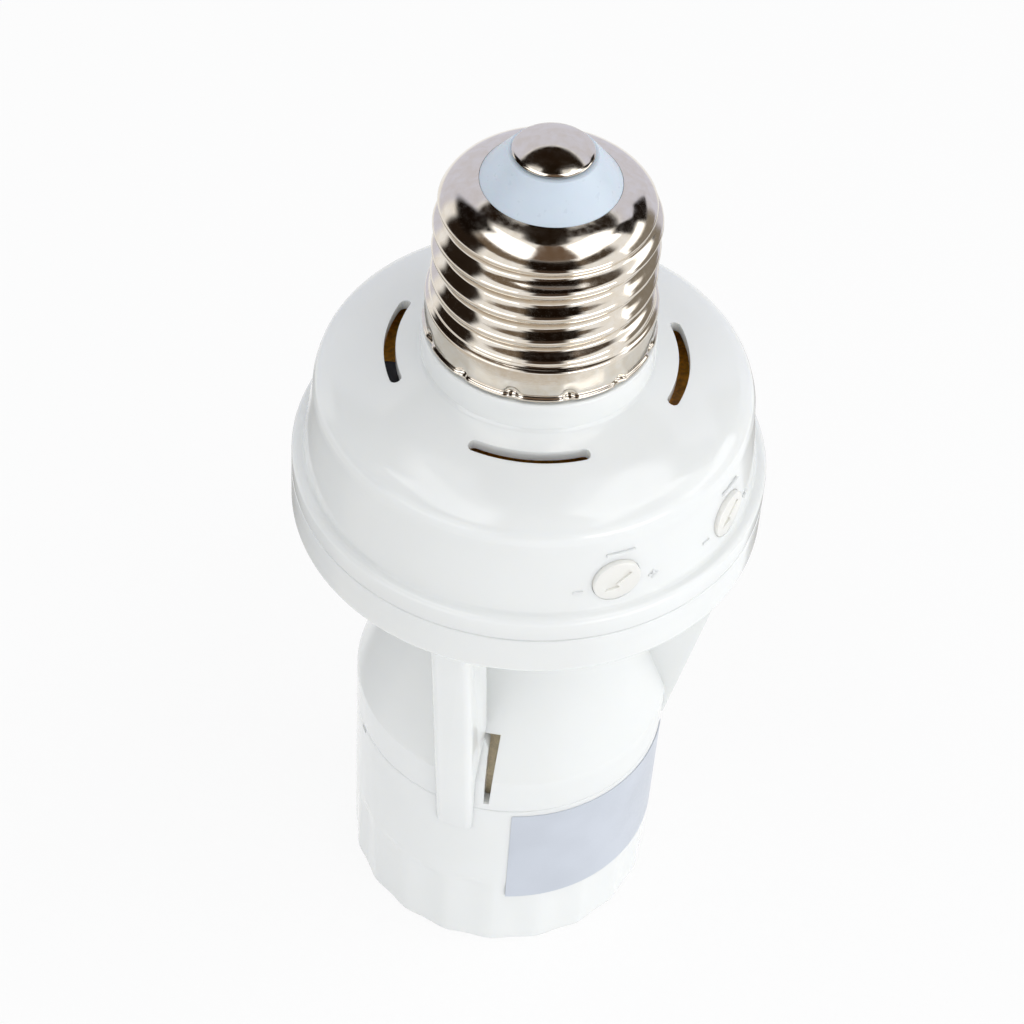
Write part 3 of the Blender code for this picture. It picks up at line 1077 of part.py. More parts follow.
def make_wires(surfaces):
    """Insulated wires from the cap to the board and from the board to the lamp contacts."""
    tag_top = INSERT_FLOOR_Z + SEAT_GAP + TAG_HEIGHT + SEAT_GAP
    bend = tag_top + WIRE_STRAIGHT
    tube("lamp_live_wire",
         [(-ANCHOR_RIVET_RADIUS, 0.0, tag_top), (-ANCHOR_RIVET_RADIUS, 0.0, bend),
          (-1.2 * WIRE_OFFSET, 0.6 * WIRE_STEP, NECK_CONE_TOP_Z - 1.67 * WIRE_STRAIGHT),
          (-WIRE_OFFSET, 0.7 * WIRE_STEP, RING_Z), (-WIRE_OFFSET, WIRE_STEP, COMPONENT_TOP_Z)],
         WIRE_RADIUS, surfaces["live"])
    neck = NECK_BORE - 2.5 * WIRE_RADIUS
    bend = tag_top + 0.5 * WIRE_STRAIGHT
    tube("lamp_neutral_wire",
         [(SHELL_RIVET_RADIUS, 0.0, tag_top), (SHELL_RIVET_RADIUS, 0.0, bend),
          (neck, 0.0, NECK_CONE_TOP_Z - 1.33 * WIRE_STRAIGHT),
          (neck - 0.5 * WIRE_STEP, 0.4 * WIRE_STEP, RING_Z), (WIRE_OFFSET, WIRE_STEP, COMPONENT_TOP_Z)],
         WIRE_RADIUS, surfaces["neutral"])
    board = BOARD_TOP_Z + SEAT_GAP
    stem = CAP_TOP_Z - STEM_REACH - SEAT_GAP
    tube("cap_live_wire",
         [(0.0, 0.0, stem), (0.0, 0.0, stem - WIRE_STRAIGHT),
          (-WIRE_OFFSET, -0.8 * WIRE_STEP, COLLAR_TOP_Z), (-0.8 * WIRE_OFFSET, -1.5 * WIRE_STEP, board)],
         WIRE_RADIUS, surfaces["live"])
    root = THREAD_RADIUS - THREAD_DEPTH - SHEET - CLEARANCE - WIRE_RADIUS
    bore = CAP_BORE_RADIUS - 2.25 * WIRE_RADIUS
    spigot_top = COLLAR_TOP_Z + CAP_SPIGOT_HEIGHT
    tube("cap_neutral_wire",
         [(root, 0.0, CAP_THREAD_TOP_Z - 0.1 * WIRE_STRAIGHT),
          (root - 0.2 * WIRE_STEP, 0.0, spigot_top + WIRE_STRAIGHT), (bore, 0.0, spigot_top),
          (bore - 0.5 * WIRE_STEP, -0.3 * WIRE_STEP, COLLAR_TOP_Z),
          (1.33 * WIRE_OFFSET, -1.3 * WIRE_STEP, board)],
         WIRE_RADIUS, surfaces["neutral"])


def main():
    """Build every piece of the lamp holder."""
    clear_scene()
    white = material("glossy white plastic", (0.86, 0.87, 0.86), 0.25)
    nickel = material("nickel-plated brass", (0.66, 0.62, 0.55), 0.18, 1.0)
    ceramic = material("white insulator", (0.82, 0.86, 0.90), 0.30)
    phenolic = material("tan phenolic", (0.55, 0.43, 0.28), 0.45)
    laminate = material("brown laminate", (0.28, 0.16, 0.06), 0.50)
    board = material("tan insulating board", (0.66, 0.53, 0.34), 0.62)
    surfaces = {
        "laminate": laminate,
        "metal": nickel,
        "film": material("yellow film capacitor", (0.70, 0.52, 0.10), 0.40),
        "relay": material("black moulded case", (0.03, 0.03, 0.03), 0.40),
        "sleeve": material("blue-black sleeve", (0.04, 0.05, 0.10), 0.35),
        "resistor": material("grey resistor coating", (0.25, 0.28, 0.26), 0.55),
        "lens": material("milky polyethylene", (0.88, 0.88, 0.86), 0.35),
        "light": material("amber photocell", (0.55, 0.25, 0.08), 0.30),
        "live": material("brown wire insulation", (0.20, 0.08, 0.03), 0.45),
        "neutral": material("blue wire insulation", (0.05, 0.15, 0.45), 0.45),
    }
    make_cap_shell(nickel)
    make_cap_insulator(ceramic)
    make_centre_contact(nickel)
    make_upper_housing(white)
    make_lower_housing(white)
    make_insulating_sleeve(board)
    make_socket_barrel(white)
    make_socket_insert(phenolic)
    make_socket_shell(nickel)
    make_shell_rivet(nickel)
    make_contact_anchor(nickel)
    make_contact_tongue(nickel)
    make_circuit_board(laminate)
    for side, azimuth in BOSS_AZIMUTHS.items():
        make_board_screw(side, azimuth, nickel)
    make_components(surfaces)
    for name, azimuth in KNOB_AZIMUTHS.items():
        make_trimmer(name, azimuth, surfaces["relay"])
        make_knob(name, azimuth, white)
    make_sensor_group(surfaces)
    make_wires(surfaces)


main()
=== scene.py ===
"""Looks of a motion sensor lamp holder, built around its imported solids.

The file is laid out as an add-on: sizes and colours are properties, and each group of
pieces is one operator. Heights and radii inside the builders are millimetres.
Azimuths are degrees about +Z: 0 is the front (-Y), 90 is +X.
"""
import math
from typing import NamedTuple

import bmesh
import bpy
from mathutils import Matrix, Vector


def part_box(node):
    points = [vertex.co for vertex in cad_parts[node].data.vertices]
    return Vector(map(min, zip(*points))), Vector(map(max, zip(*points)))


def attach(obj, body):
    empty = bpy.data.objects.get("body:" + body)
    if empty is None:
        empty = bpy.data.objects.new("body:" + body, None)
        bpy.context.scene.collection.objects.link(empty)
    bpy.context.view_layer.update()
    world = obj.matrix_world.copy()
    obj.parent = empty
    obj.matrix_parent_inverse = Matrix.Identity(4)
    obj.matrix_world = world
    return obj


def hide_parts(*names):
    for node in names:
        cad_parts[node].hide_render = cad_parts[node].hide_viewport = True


bl_info = {
    "name": "Motion sensor lamp holder",
    "version": (1, 0, 0),
    "blender": (4, 5, 0),
    "location": "3D View > Sidebar > Lamp holder",
    "description": "Builds the visible pieces of a screw-in lamp holder with a motion sensor",
    "category": "Object",
}

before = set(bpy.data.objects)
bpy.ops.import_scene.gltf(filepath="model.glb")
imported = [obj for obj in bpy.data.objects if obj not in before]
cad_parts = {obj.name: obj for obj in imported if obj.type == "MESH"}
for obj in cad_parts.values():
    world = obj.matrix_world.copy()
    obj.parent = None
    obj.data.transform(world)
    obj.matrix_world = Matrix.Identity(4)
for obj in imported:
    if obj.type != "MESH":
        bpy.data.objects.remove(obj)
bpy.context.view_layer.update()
HOLDER = "holder"
MM = 0.001

# Gap that the solids keep between seated pieces
SOLID_GAP = 0.3

# Heights shared by the pieces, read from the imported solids
CAP_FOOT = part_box("cap_shell")[0][2] / MM
CAP_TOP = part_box("cap_shell")[1][2] / MM
CONTACT_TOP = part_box("centre_contact")[1][2] / MM
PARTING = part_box("lower_housing")[1][2] / MM + SOLID_GAP
BARREL_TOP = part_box("socket_barrel")[1][2] / MM + SOLID_GAP

# Heights worked out from them
COLLAR_TOP = CAP_FOOT - SOLID_GAP
COLLAR_FOOT = COLLAR_TOP - 3.85
CREASE = PARTING + 16.2
RING_FOOT = PARTING - 5.8
NECK_TOP = RING_FOOT - 5.5
SHOULDER = BARREL_TOP + 5.7

# Sizes of the cap; its thread's ends are heights above its foot
THREAD_FOOT = 5.3
THREAD_TOP = 18.8
THREAD_RADIUS = 13.15
SKIRT = 13.67
CRIMPS = 13
CRIMP_WIDTH = 0.62

# Sizes and places of the mouldings; a vent reaches so many degrees to each side
SEAM = 0.03
WALL_RADIUS = 26.55
WALL_TAPER = 1.11
WALL_RISE = 13.1
VENT_RADIUS = 17.5
VENT_REACH = 21.4
FLANGE_RADIUS = 29.07
RING_RADIUS = 29.1
NECK_RADIUS = 9.8
SHOULDER_RADIUS = 20.46
SHOULDER_SLOPE = 0.513
LEG_AZIMUTHS = (-16.8, -136.8)
LEG_FOOT = 24.5
LEG_LEAN = 0.141
POD_AZIMUTHS = (84.5, 124.0)
KNOB_HEIGHT = 80.2
KNOB_RADIUS = 2.98
KNOB_AZIMUTHS = {"time": 24.5, "lux": 62.0}
LENS_REACH, LENS_AZIMUTH = 19.6, 169.0
LENS_RADIUS = 6.3


# Colours and nodes

def linear(code):
    """Turn an sRGB hex code into linear red, green and blue."""
    values = [int(code[place:place + 2], 16) / 255.0 for place in (0, 2, 4)]
    return tuple(v / 12.92 if v <= 0.04045 else ((v + 0.055) / 1.055) ** 2.4 for v in values)


def add_node(tree, kind, settings=None, links=None):
    """Add a node, set its properties and sockets, and link sockets of other nodes to it."""
    node = tree.nodes.new(kind)
    for key, value in (settings or {}).items():
        if isinstance(key, str) and hasattr(node, key):
            setattr(node, key, value)
        else:
            node.inputs[key].default_value = value
    for key, source in (links or {}).items():
        tree.links.new(source, node.inputs[key])
    return node


def bare_tree(owner):
    """Turn on the nodes of a material or world and return its tree, emptied."""
    owner.use_nodes = True
    owner.node_tree.nodes.clear()
    return owner.node_tree


def tinted(colour, factor):
    """Return a colour made lighter or darker."""
    return tuple(min(1.0, channel * factor) for channel in colour)


class Grain(NamedTuple):
    """Noise whose patches are about a given size in mm, flattened along the third axis by squeeze."""

    size: float
    detail: float = 2.0
    distortion: float = 0.0
    squeeze: float = 1.0


def textured(name, colour, settings, **patterns):
    """Make a material whose tone, grit and relief follow noise.

    tone is a grain with its two colours, grit a grain with its two roughnesses, and relief a
    grain with its depth in mm.
    """
    made = bpy.data.materials.new(name)
    made.use_nodes = True
    tree = made.node_tree
    shader = tree.nodes["Principled BSDF"]
    for socket, value in {"Base Color": (*colour, 1.0), **settings}.items():
        shader.inputs[socket].default_value = value
    place = add_node(tree, "ShaderNodeTexCoord").outputs["Object"]
    for use, (grain, *ends) in patterns.items():
        where = place
        if grain.squeeze != 1.0:
            flat = add_node(tree, "ShaderNodeMapping", {"Scale": (1.0, 1.0, grain.squeeze)},
                            {"Vector": place})
            where = flat.outputs["Vector"]
        noise = add_node(tree, "ShaderNodeTexNoise",
                         {"Scale": 1.0 / (grain.size * MM), "Detail": grain.detail,
                          "Distortion": grain.distortion}, {"Vector": where}).outputs["Fac"]
        if use == "tone":
            ramp = add_node(tree, "ShaderNodeValToRGB", links={"Fac": noise})
            for element, position, shade in zip(ramp.color_ramp.elements, (0.35, 0.65), ends):
                element.position = position
                element.color = (*shade, 1.0)
            tree.links.new(ramp.outputs["Color"], shader.inputs["Base Color"])
        elif use == "grit":
            spread = add_node(tree, "ShaderNodeMapRange",
                              {"From Min": 0.3, "From Max": 0.7, "To Min": ends[0], "To Max": ends[1]},
                              {"Value": noise})
            tree.links.new(spread.outputs["Result"], shader.inputs["Roughness"])
        else:
            bump = add_node(tree, "ShaderNodeBump", {"Strength": 1.0, "Distance": ends[0] * MM},
                            {"Height": noise})
            tree.links.new(bump.outputs["Normal"], shader.inputs["Normal"])
    return made


# Materials

def moulded_abs(name, colour, roughness=0.10):
    """Injection-moulded ABS from a polished tool: glossy, with a faint orange peel in highlights."""
    return textured(name, colour,
                    {"Roughness": roughness, "IOR": 1.53, "Subsurface Weight": 0.35,
                     "Subsurface Radius": (1.0, 0.95, 0.85), "Subsurface Scale": 1.3 * MM},
                    tone=(Grain(18.0), tinted(colour, 0.975), colour),
                    grit=(Grain(6.0), roughness - 0.015, roughness + 0.02),
                    relief=(Grain(2.4, 1.0), 0.0022))


def nickel_plate(name, colour, roughness=0.10):
    """Bright nickel over rolled brass: mirror-like, warm in the darks, with fine rolling scratches."""
    warm = tuple(c * f for c, f in zip(colour, (0.95, 0.92, 0.87)))
    return textured(name, colour, {"Roughness": roughness, "Metallic": 1.0},
                    tone=(Grain(1.1, 6.0, 0.4), warm, colour),
                    grit=(Grain(0.7, 6.0), roughness - 0.04, roughness + 0.05),
                    relief=(Grain(1.4, 5.0, squeeze=14.0), 0.0016))


def glazed_insulator(name, colour):
    """Pressed insulator: smooth, dense and slightly milky, with a tiny pitting."""
    return textured(name, colour,
                    {"Roughness": 0.32, "IOR": 1.54, "Subsurface Weight": 0.10, "Subsurface Scale": 0.6 * MM},
                    tone=(Grain(4.0), tinted(colour, 0.97), colour),
                    grit=(Grain(0.8, 4.0), 0.26, 0.42), relief=(Grain(0.35, 3.0), 0.006))


def printed_film(name, colour):
    """Silver-grey polyester label film: satin, very flat, with a fine grain of the ink layer."""
    return textured(name, colour, {"Roughness": 0.34, "Metallic": 0.15},
                    tone=(Grain(9.0), tinted(colour, 0.96), tinted(colour, 1.03)),
                    grit=(Grain(0.5, 3.0), 0.28, 0.42), relief=(Grain(0.25), 0.0015))


def pressed_phenolic(name, colour):
    """Phenolic pressed with wood flour: dull tan with darker flecks and a grainy skin."""
    flecks = Grain(0.7, 8.0, 0.4)
    return textured(name, colour, {"Roughness": 0.48},
                    tone=(flecks, tinted(colour, 0.80), tinted(colour, 1.08)),
                    grit=(Grain(0.4, 4.0), 0.40, 0.58), relief=(flecks, 0.02))


def pressed_board(name, colour):
    """Calendered insulating board: pale tan and matt, with short fibres in it."""
    fibres = Grain(0.6, 6.0, 1.2)
    return textured(name, colour, {"Roughness": 0.62},
                    tone=(fibres, tinted(colour, 0.88), tinted(colour, 1.06)), relief=(fibres, 0.008))


def paper_laminate(name, colour):
    """Phenolic paper board: brown, with woven mottling and a thin gloss of resin."""
    weave = Grain(0.9, 6.0, 0.8)
    return textured(name, colour, {"Roughness": 0.42},
                    tone=(weave, tinted(colour, 0.70), tinted(colour, 1.25)), relief=(weave, 0.01))


def cast_resin(name, colour, roughness=0.35):
    """Dipped or cast resin case: even colour with soft waves where the resin settled."""
    waves = Grain(2.2, 3.0)
    return textured(name, colour, {"Roughness": roughness},
                    tone=(waves, tinted(colour, 0.85), tinted(colour, 1.12)),
                    grit=(Grain(0.6, 4.0), roughness - 0.06, roughness + 0.10), relief=(waves, 0.02))


def blown_polyethylene(name, colour):
    """Milky polyethylene lens: light soaks in and spreads, so edges look soft and waxy."""
    return textured(name, colour,
                    {"Roughness": 0.36, "IOR": 1.51, "Subsurface Weight": 0.45,
                     "Subsurface Radius": (1.0, 0.95, 0.85), "Subsurface Scale": 1.4 * MM},
                    tone=(Grain(3.0), tinted(colour, 0.96), colour),
                    grit=(Grain(0.5, 3.0), 0.30, 0.44), relief=(Grain(0.5), 0.006))


def extruded_insulation(name, colour):
    """Extruded wire insulation: soft satin colour with faint lines along the wire."""
    grain = Grain(0.8, 3.0)
    return textured(name, colour, {"Roughness": 0.42},
                    tone=(grain, tinted(colour, 0.88), tinted(colour, 1.10)), relief=(grain, 0.01))


def reflection_glow_card(name, colour, softness):
    """Card that glows with its own colour and is seen only in reflections: painted reflections and painted
    shade in the shiny parts; soft edges keep it from looking cut out.
    """
    made = bpy.data.materials.new(name)
    tree = bare_tree(made)
    place = add_node(tree, "ShaderNodeUVMap").outputs["UV"]
    axes = add_node(tree, "ShaderNodeSeparateXYZ", links={0: place})
    share = None
    for axis in ("X", "Y"):
        edge = add_node(tree, "ShaderNodeMath", {"operation": "PINGPONG", 1: 0.5}, {0: axes.outputs[axis]})
        fade = add_node(tree, "ShaderNodeMapRange",
                        {"interpolation_type": "SMOOTHSTEP", "From Max": softness},
                        {"Value": edge.outputs[0]})
        if share is None:
            share = fade
        else:
            share = add_node(tree, "ShaderNodeMath", {"operation": "MULTIPLY"},
                             {0: share.outputs[0], 1: fade.outputs[0]})
    # The card's colour is emitted, not lit: a painted reflection
    paint = add_node(tree, "ShaderNodeEmission", {"Color": (*colour, 1.0)})
    clear = add_node(tree, "ShaderNodeBsdfTransparent")
    mix = add_node(tree, "ShaderNodeMixShader",
                   links={0: share.outputs[0], 1: clear.outputs[0], 2: paint.outputs[0]})
    add_node(tree, "ShaderNodeOutputMaterial", links={"Surface": mix.outputs[0]})
    return made


# Shapes

def polar(radius, azimuth, height):
    """Return a point in metres from a radius, an azimuth in degrees and a height, in mm."""
    angle = math.radians(azimuth)
    return Vector((radius * math.sin(angle), -radius * math.cos(angle), height)) * MM


def rounded(points):
    """Round a closed section's corners; each point is (radius, height, corner radius)."""
    out = []
    count = len(points)
    for index, (radius, height, corner) in enumerate(points):
        here = Vector((radius, height))
        before = Vector(points[index - 1][:2]) - here
        after = Vector(points[(index + 1) % count][:2]) - here
        half = 0.5 * before.angle(after) if before.length and after.length else 0.0
        if corner <= 0.0 or half < 0.02 or half > 0.5 * math.pi - 0.01:
            out.append((radius, height))
            continue
        cut = min(corner / math.tan(half), 0.48 * before.length, 0.48 * after.length)
        corner = cut * math.tan(half)
        centre = here + (before.normalized() + after.normalized()).normalized() * (corner / math.sin(half))
        start = here + before.normalized() * cut - centre
        end = here + after.normalized() * cut - centre
        turn = math.pi - 2.0 * half
        steps = max(2, math.ceil(turn / math.radians(13.0)))
        for step in range(steps + 1):
            share = step / steps
            arm = (start * math.sin((1.0 - share) * turn) + end * math.sin(share * turn)) / math.sin(turn)
            out.append((centre.x + arm.x, centre.y + arm.y))
    return out


def flowing(points, pieces=5):
    """Return points of a smooth curve through section points."""
    rows = [Vector(point) for point in points]
    padded = [2 * rows[0] - rows[1], *rows, 2 * rows[-1] - rows[-2]]
    out = []
    for index in range(len(rows) - 1):
        before, start, end, after = padded[index:index + 4]
        for step in range(pieces):
            t = step / pieces
            out.append(tuple(0.5 * (2 * start + (end - before) * t
                                    + (2 * before - 5 * start + 4 * end - after) * t * t
                                    + (3 * start - before - 3 * end + after) * t ** 3)))
    out.append(tuple(rows[-1]))
    return out


def dense(section, step):
    """Divide the long sides of a closed section."""
    out = []
    for index, (radius, height) in enumerate(section):
        after = section[(index + 1) % len(section)]
        pieces = max(1, math.ceil(math.hypot(after[0] - radius, after[1] - height) / step))
        for piece in range(pieces):
            share = piece / pieces
            out.append((radius + (after[0] - radius) * share, height + (after[1] - height) * share))
    return out


def grid_faces(rows, columns, closed=False):
    """Return the faces between points given row by row; a closed grid joins its last column to its first."""
    faces = []
    for row in range(rows - 1):
        for column in range(columns if closed else columns - 1):
            here, after = row * columns + column, row * columns + (column + 1) % columns
            faces.append((here, after, after + columns, here + columns))
    return faces


def lathe(name, section, columns, centre=(0.0, 0.0)):
    """Turn a section in mm about an upright axis; a section that ends on the axis is closed there."""
    verts, faces, rings = [], [], []
    for radius, height in section:
        if radius < 1e-4:
            rings.append([len(verts)])
            verts.append((centre[0], centre[1], height * MM))
            continue
        rings.append(list(range(len(verts), len(verts) + columns)))
        for column in range(columns):
            point = polar(radius, 360.0 * column / columns, height)
            verts.append((point.x + centre[0], point.y + centre[1], point.z))
    for first, second in zip(rings, rings[1:] + rings[:1]):
        if len(first) == 1 and len(second) == 1:
            continue
        for column in range(columns):
            after = (column + 1) % columns
            if len(first) == 1:
                faces.append((first[0], second[after], second[column]))
            elif len(second) == 1:
                faces.append((first[column], first[after], second[0]))
            else:
                faces.append((first[column], first[after], second[after], second[column]))
    return mesh_object(name, verts, faces)


def new_mesh(name, verts, faces):
    """Make a mesh of points and faces."""
    mesh = bpy.data.meshes.new(name)
    mesh.from_pydata(verts, [], faces)
    return mesh


def put(name, data):
    """Put a mesh, lamp or camera in the scene as a new object."""
    obj = bpy.data.objects.new(name, data)
    bpy.context.scene.collection.objects.link(obj)
    return obj


def put_outward(name, mesh):
    """Put a mesh in the scene, its faces turned outward."""
    shape = bmesh.new()
    shape.from_mesh(mesh)
    bmesh.ops.recalc_face_normals(shape, faces=shape.faces)
    shape.to_mesh(mesh)
    shape.free()
    return put(name, mesh)


def mesh_object(name, verts, faces):
    """Put a mesh made of points and faces in the scene."""
    return put_outward(name, new_mesh(name, verts, faces))


def bake_modifiers(obj):
    """Make an object's modifiers part of its mesh."""
    bpy.context.view_layer.update()
    evaluated = obj.evaluated_get(bpy.context.evaluated_depsgraph_get())
    mesh = bpy.data.meshes.new_from_object(evaluated)
    mesh.name = obj.name
    obj.modifiers.clear()
    obj.data = mesh


def combine(target, other, operation):
    """Join, cut or keep the common part of two closed meshes, and remove the second."""
    change = target.modifiers.new(operation, "BOOLEAN")
    change.operation = operation
    change.object = other
    change.solver = "EXACT"
    bake_modifiers(target)
    bpy.data.objects.remove(other, do_unlink=True)


def finish_piece(obj, surface, body=HOLDER, replaces=(), sharp=32.0):
    """Shade a piece, give it its surface, make it ride on its body and hide the solids that it replaces."""
    obj.data.materials.clear()
    obj.data.materials.append(surface)
    obj.data.shade_smooth()
    obj.data.set_sharp_from_angle(angle=math.radians(sharp))
    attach(obj, body)
    if replaces:
        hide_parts(*replaces)


def coat(surface, *nodes):
    """Give solids that stay as they are a surface."""
    for node in nodes:
        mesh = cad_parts[node].data
        mesh.materials.clear()
        mesh.materials.append(surface)


def extruded(corners, depth):
    """Return a flat outline in mm as a bmesh, extruded from 0 to a depth along its third axis."""
    shape = bmesh.new()
    face = shape.faces.new([shape.verts.new((x * MM, y * MM, 0.0)) for x, y in corners])
    grown = bmesh.ops.extrude_face_region(shape, geom=[face])
    moved = [item for item in grown["geom"] if isinstance(item, bmesh.types.BMVert)]
    bmesh.ops.translate(shape, verts=moved, vec=(0.0, 0.0, depth * MM))
    return shape


def place_shape(name, shape, matrix):
    """Place a bmesh, put it in the scene as a mesh and free it."""
    bmesh.ops.transform(shape, matrix=matrix, verts=shape.verts)
    mesh = bpy.data.meshes.new(name)
    shape.to_mesh(mesh)
    shape.free()
    return put_outward(name, mesh)


def extrude_outline(name, corners, depth, matrix):
    """Put an extruded outline in the scene."""
    return place_shape(name, extruded(corners, depth), matrix)


def radial_matrix(azimuth, radius, height):
    """Frame whose third axis points outward, first axis to the right and second axis up."""
    angle = math.radians(azimuth)
    right = Vector((math.cos(angle), math.sin(angle), 0.0))
    up = Vector((0.0, 0.0, 1.0))
    out = Vector((math.sin(angle), -math.cos(angle), 0.0))
    matrix = Matrix((right, up, out)).transposed().to_4x4()
    matrix.translation = polar(radius, azimuth, height)
    return matrix


def circle(radius, count):
    """Return the points of a circle in mm."""
    return [(radius * math.cos(math.tau * step / count), radius * math.sin(math.tau * step / count))
            for step in range(count)]


def bell(value, width):
    """Return a flat-topped bell curve, 1 at 0."""
    return math.exp(-abs(value / width) ** 3)


def wall_radius(height):
    """Return the outer radius of the upper housing's wall at a height."""
    return WALL_RADIUS + WALL_TAPER * (CREASE - height) / WALL_RISE


def neck_radius(height):
    """Return the outer radius of the neck's cone at a height."""
    return SHOULDER_RADIUS + (NECK_RADIUS - SHOULDER_RADIUS) * (height - SHOULDER) / (NECK_TOP - SHOULDER)


def thread_wave(azimuth, height, pitch, ends, fades, phase=0.0):
    """Return how deep a rolled thread is at a place, from 0 at its crest to 1 at its root."""
    foot, top = ends
    if not foot < height < top:
        return 0.0
    turn = height / pitch - (azimuth - 90.0) / 360.0 + phase
    fade = min(1.0, (height - foot) / (fades[0] * pitch), (top - height) / (fades[1] * pitch))
    return fade * 0.5 * (1.0 - math.cos(math.tau * turn))


def roll_sheet(name, line, thickness, columns, pushed):
    """Turn an outer line in mm into sheet metal, pressed in by a function of azimuth, radius and height."""
    verts = []
    for radius, height in line:
        for column in range(columns):
            azimuth = 360.0 * column / columns
            verts.append(polar(radius - pushed(azimuth, radius, height), azimuth, height))
    sheet = mesh_object(name, verts, grid_faces(len(line), columns, closed=True))
    wall = sheet.modifiers.new("Sheet", "SOLIDIFY")
    wall.thickness = thickness * MM
    wall.offset = -1.0
    bake_modifiers(sheet)
    return sheet


# Screw cap

def cap_line(pitch):
    """Return the outer line of the cap from its hole to its rolled foot."""
    thread_foot, dome_foot = CAP_FOOT + THREAD_FOOT, CAP_TOP - 5.2
    dome = flowing([(8.15, CAP_TOP), (10.25, CAP_TOP - 0.88), (11.85, CAP_TOP - 2.18),
                    (12.80, CAP_TOP - 3.74), (THREAD_RADIUS, dome_foot)], 8)
    rows = round((dome_foot - thread_foot) / pitch * 18)
    thread = [(THREAD_RADIUS, dome_foot + (thread_foot - dome_foot) * row / rows)
              for row in range(1, rows + 1)]
    skirt = flowing([(THREAD_RADIUS, thread_foot - 0.10), (13.30, thread_foot - 0.35),
                     (13.55, thread_foot - 0.60), (13.66, thread_foot - 0.90), (SKIRT, thread_foot - 1.6),
                     (SKIRT, CAP_FOOT + 1.5), (13.64, CAP_FOOT + 1.05), (13.50, CAP_FOOT + 0.86),
                     (13.60, CAP_FOOT + 0.68), (13.80, CAP_FOOT + 0.52), (13.84, CAP_FOOT + 0.30),
                     (13.66, CAP_FOOT + 0.05)], 3)
    return dome + thread + skirt


def build_screw_cap(sizes, colours):
    """Cap shell, insulator and centre contact."""
    pitch = sizes.thread_pitch / MM
    ends = (CAP_FOOT + THREAD_FOOT, CAP_FOOT + THREAD_TOP)

    def pushed(azimuth, radius, height):
        """Return the depth of the rolled thread and, above the foot, of the crimp marks."""
        if height >= CAP_FOOT + 2.0:
            wave = thread_wave(azimuth, height, pitch, ends, (0.4, 0.3), sizes.thread_phase)
            return sizes.thread_depth / MM * wave
        step = 360.0 / CRIMPS
        around = (azimuth - sizes.crimp_azimuth + 0.5 * step) % step - 0.5 * step
        return (sizes.crimp_depth / MM * bell(math.radians(around) * radius, CRIMP_WIDTH)
                * bell(height - CAP_FOOT - 0.72, CRIMP_WIDTH))

    nickel = nickel_plate("bright nickel plate on rolled brass", tuple(colours.nickel))
    shell = roll_sheet("cap_shell_rolled", cap_line(pitch), 0.28, 288, pushed)
    finish_piece(shell, nickel, replaces=["cap_shell"], sharp=50.0)

    glaze = glazed_insulator("pressed milk-white insulator", tuple(colours.insulator))
    rim = CONTACT_TOP - 1.65
    section = rounded([(1.9, rim, 0.0), (5.15, rim, 0.25), (8.12, CAP_TOP - 0.02, 0.2),
                       (7.80, CAP_TOP - 1.4, 0.0), (9.8, CAP_TOP - 1.7, 0.2),
                       (9.8, CAP_TOP - 3.0, 0.2), (1.9, CAP_TOP - 3.0, 0.0)])
    cone = lathe("insulator_cone", section, 128)
    finish_piece(cone, glaze, replaces=["cap_insulator"])

    top = CONTACT_TOP
    dome = [(4.62 * step / 16.0, top - 1.12 * (step / 16.0) ** 2) for step in range(17)]
    section = dome + [(4.70, top - 1.24), (4.66, top - 1.34), (4.50, top - 1.38), (1.6, top - 1.38),
                      (1.6, CAP_TOP - 2.0), (0.0, CAP_TOP - 2.0)]
    button = lathe("contact_button", section, 96)
    finish_piece(button, nickel, replaces=["centre_contact"])


# Upper housing

def vent_cutter(azimuth, width):
    """Upright slot cutter along an arc, with round ends."""
    outline = []
    steps, tip_steps = 24, 6
    start, end, half = azimuth - VENT_REACH, azimuth + VENT_REACH, 0.5 * width
    low, high = CREASE - 2.0, COLLAR_TOP
    for side, first, last, opening in ((half, start, end, 0.0), (-half, end, start, math.pi)):
        for step in range(steps + 1):
            outline.append(polar(VENT_RADIUS + side, first + (last - first) * step / steps, 0.0))
        tip = polar(VENT_RADIUS, last, 0.0)
        for step in range(1, tip_steps):
            turn = math.radians(last) + opening + math.pi * step / tip_steps
            outline.append(tip + Vector((math.sin(turn), -math.cos(turn), 0.0)) * half * MM)
    lifted = Matrix.Translation((0.0, 0.0, low * MM))
    return extrude_outline("vent", [(point.x / MM, point.y / MM) for point in outline], high - low, lifted)


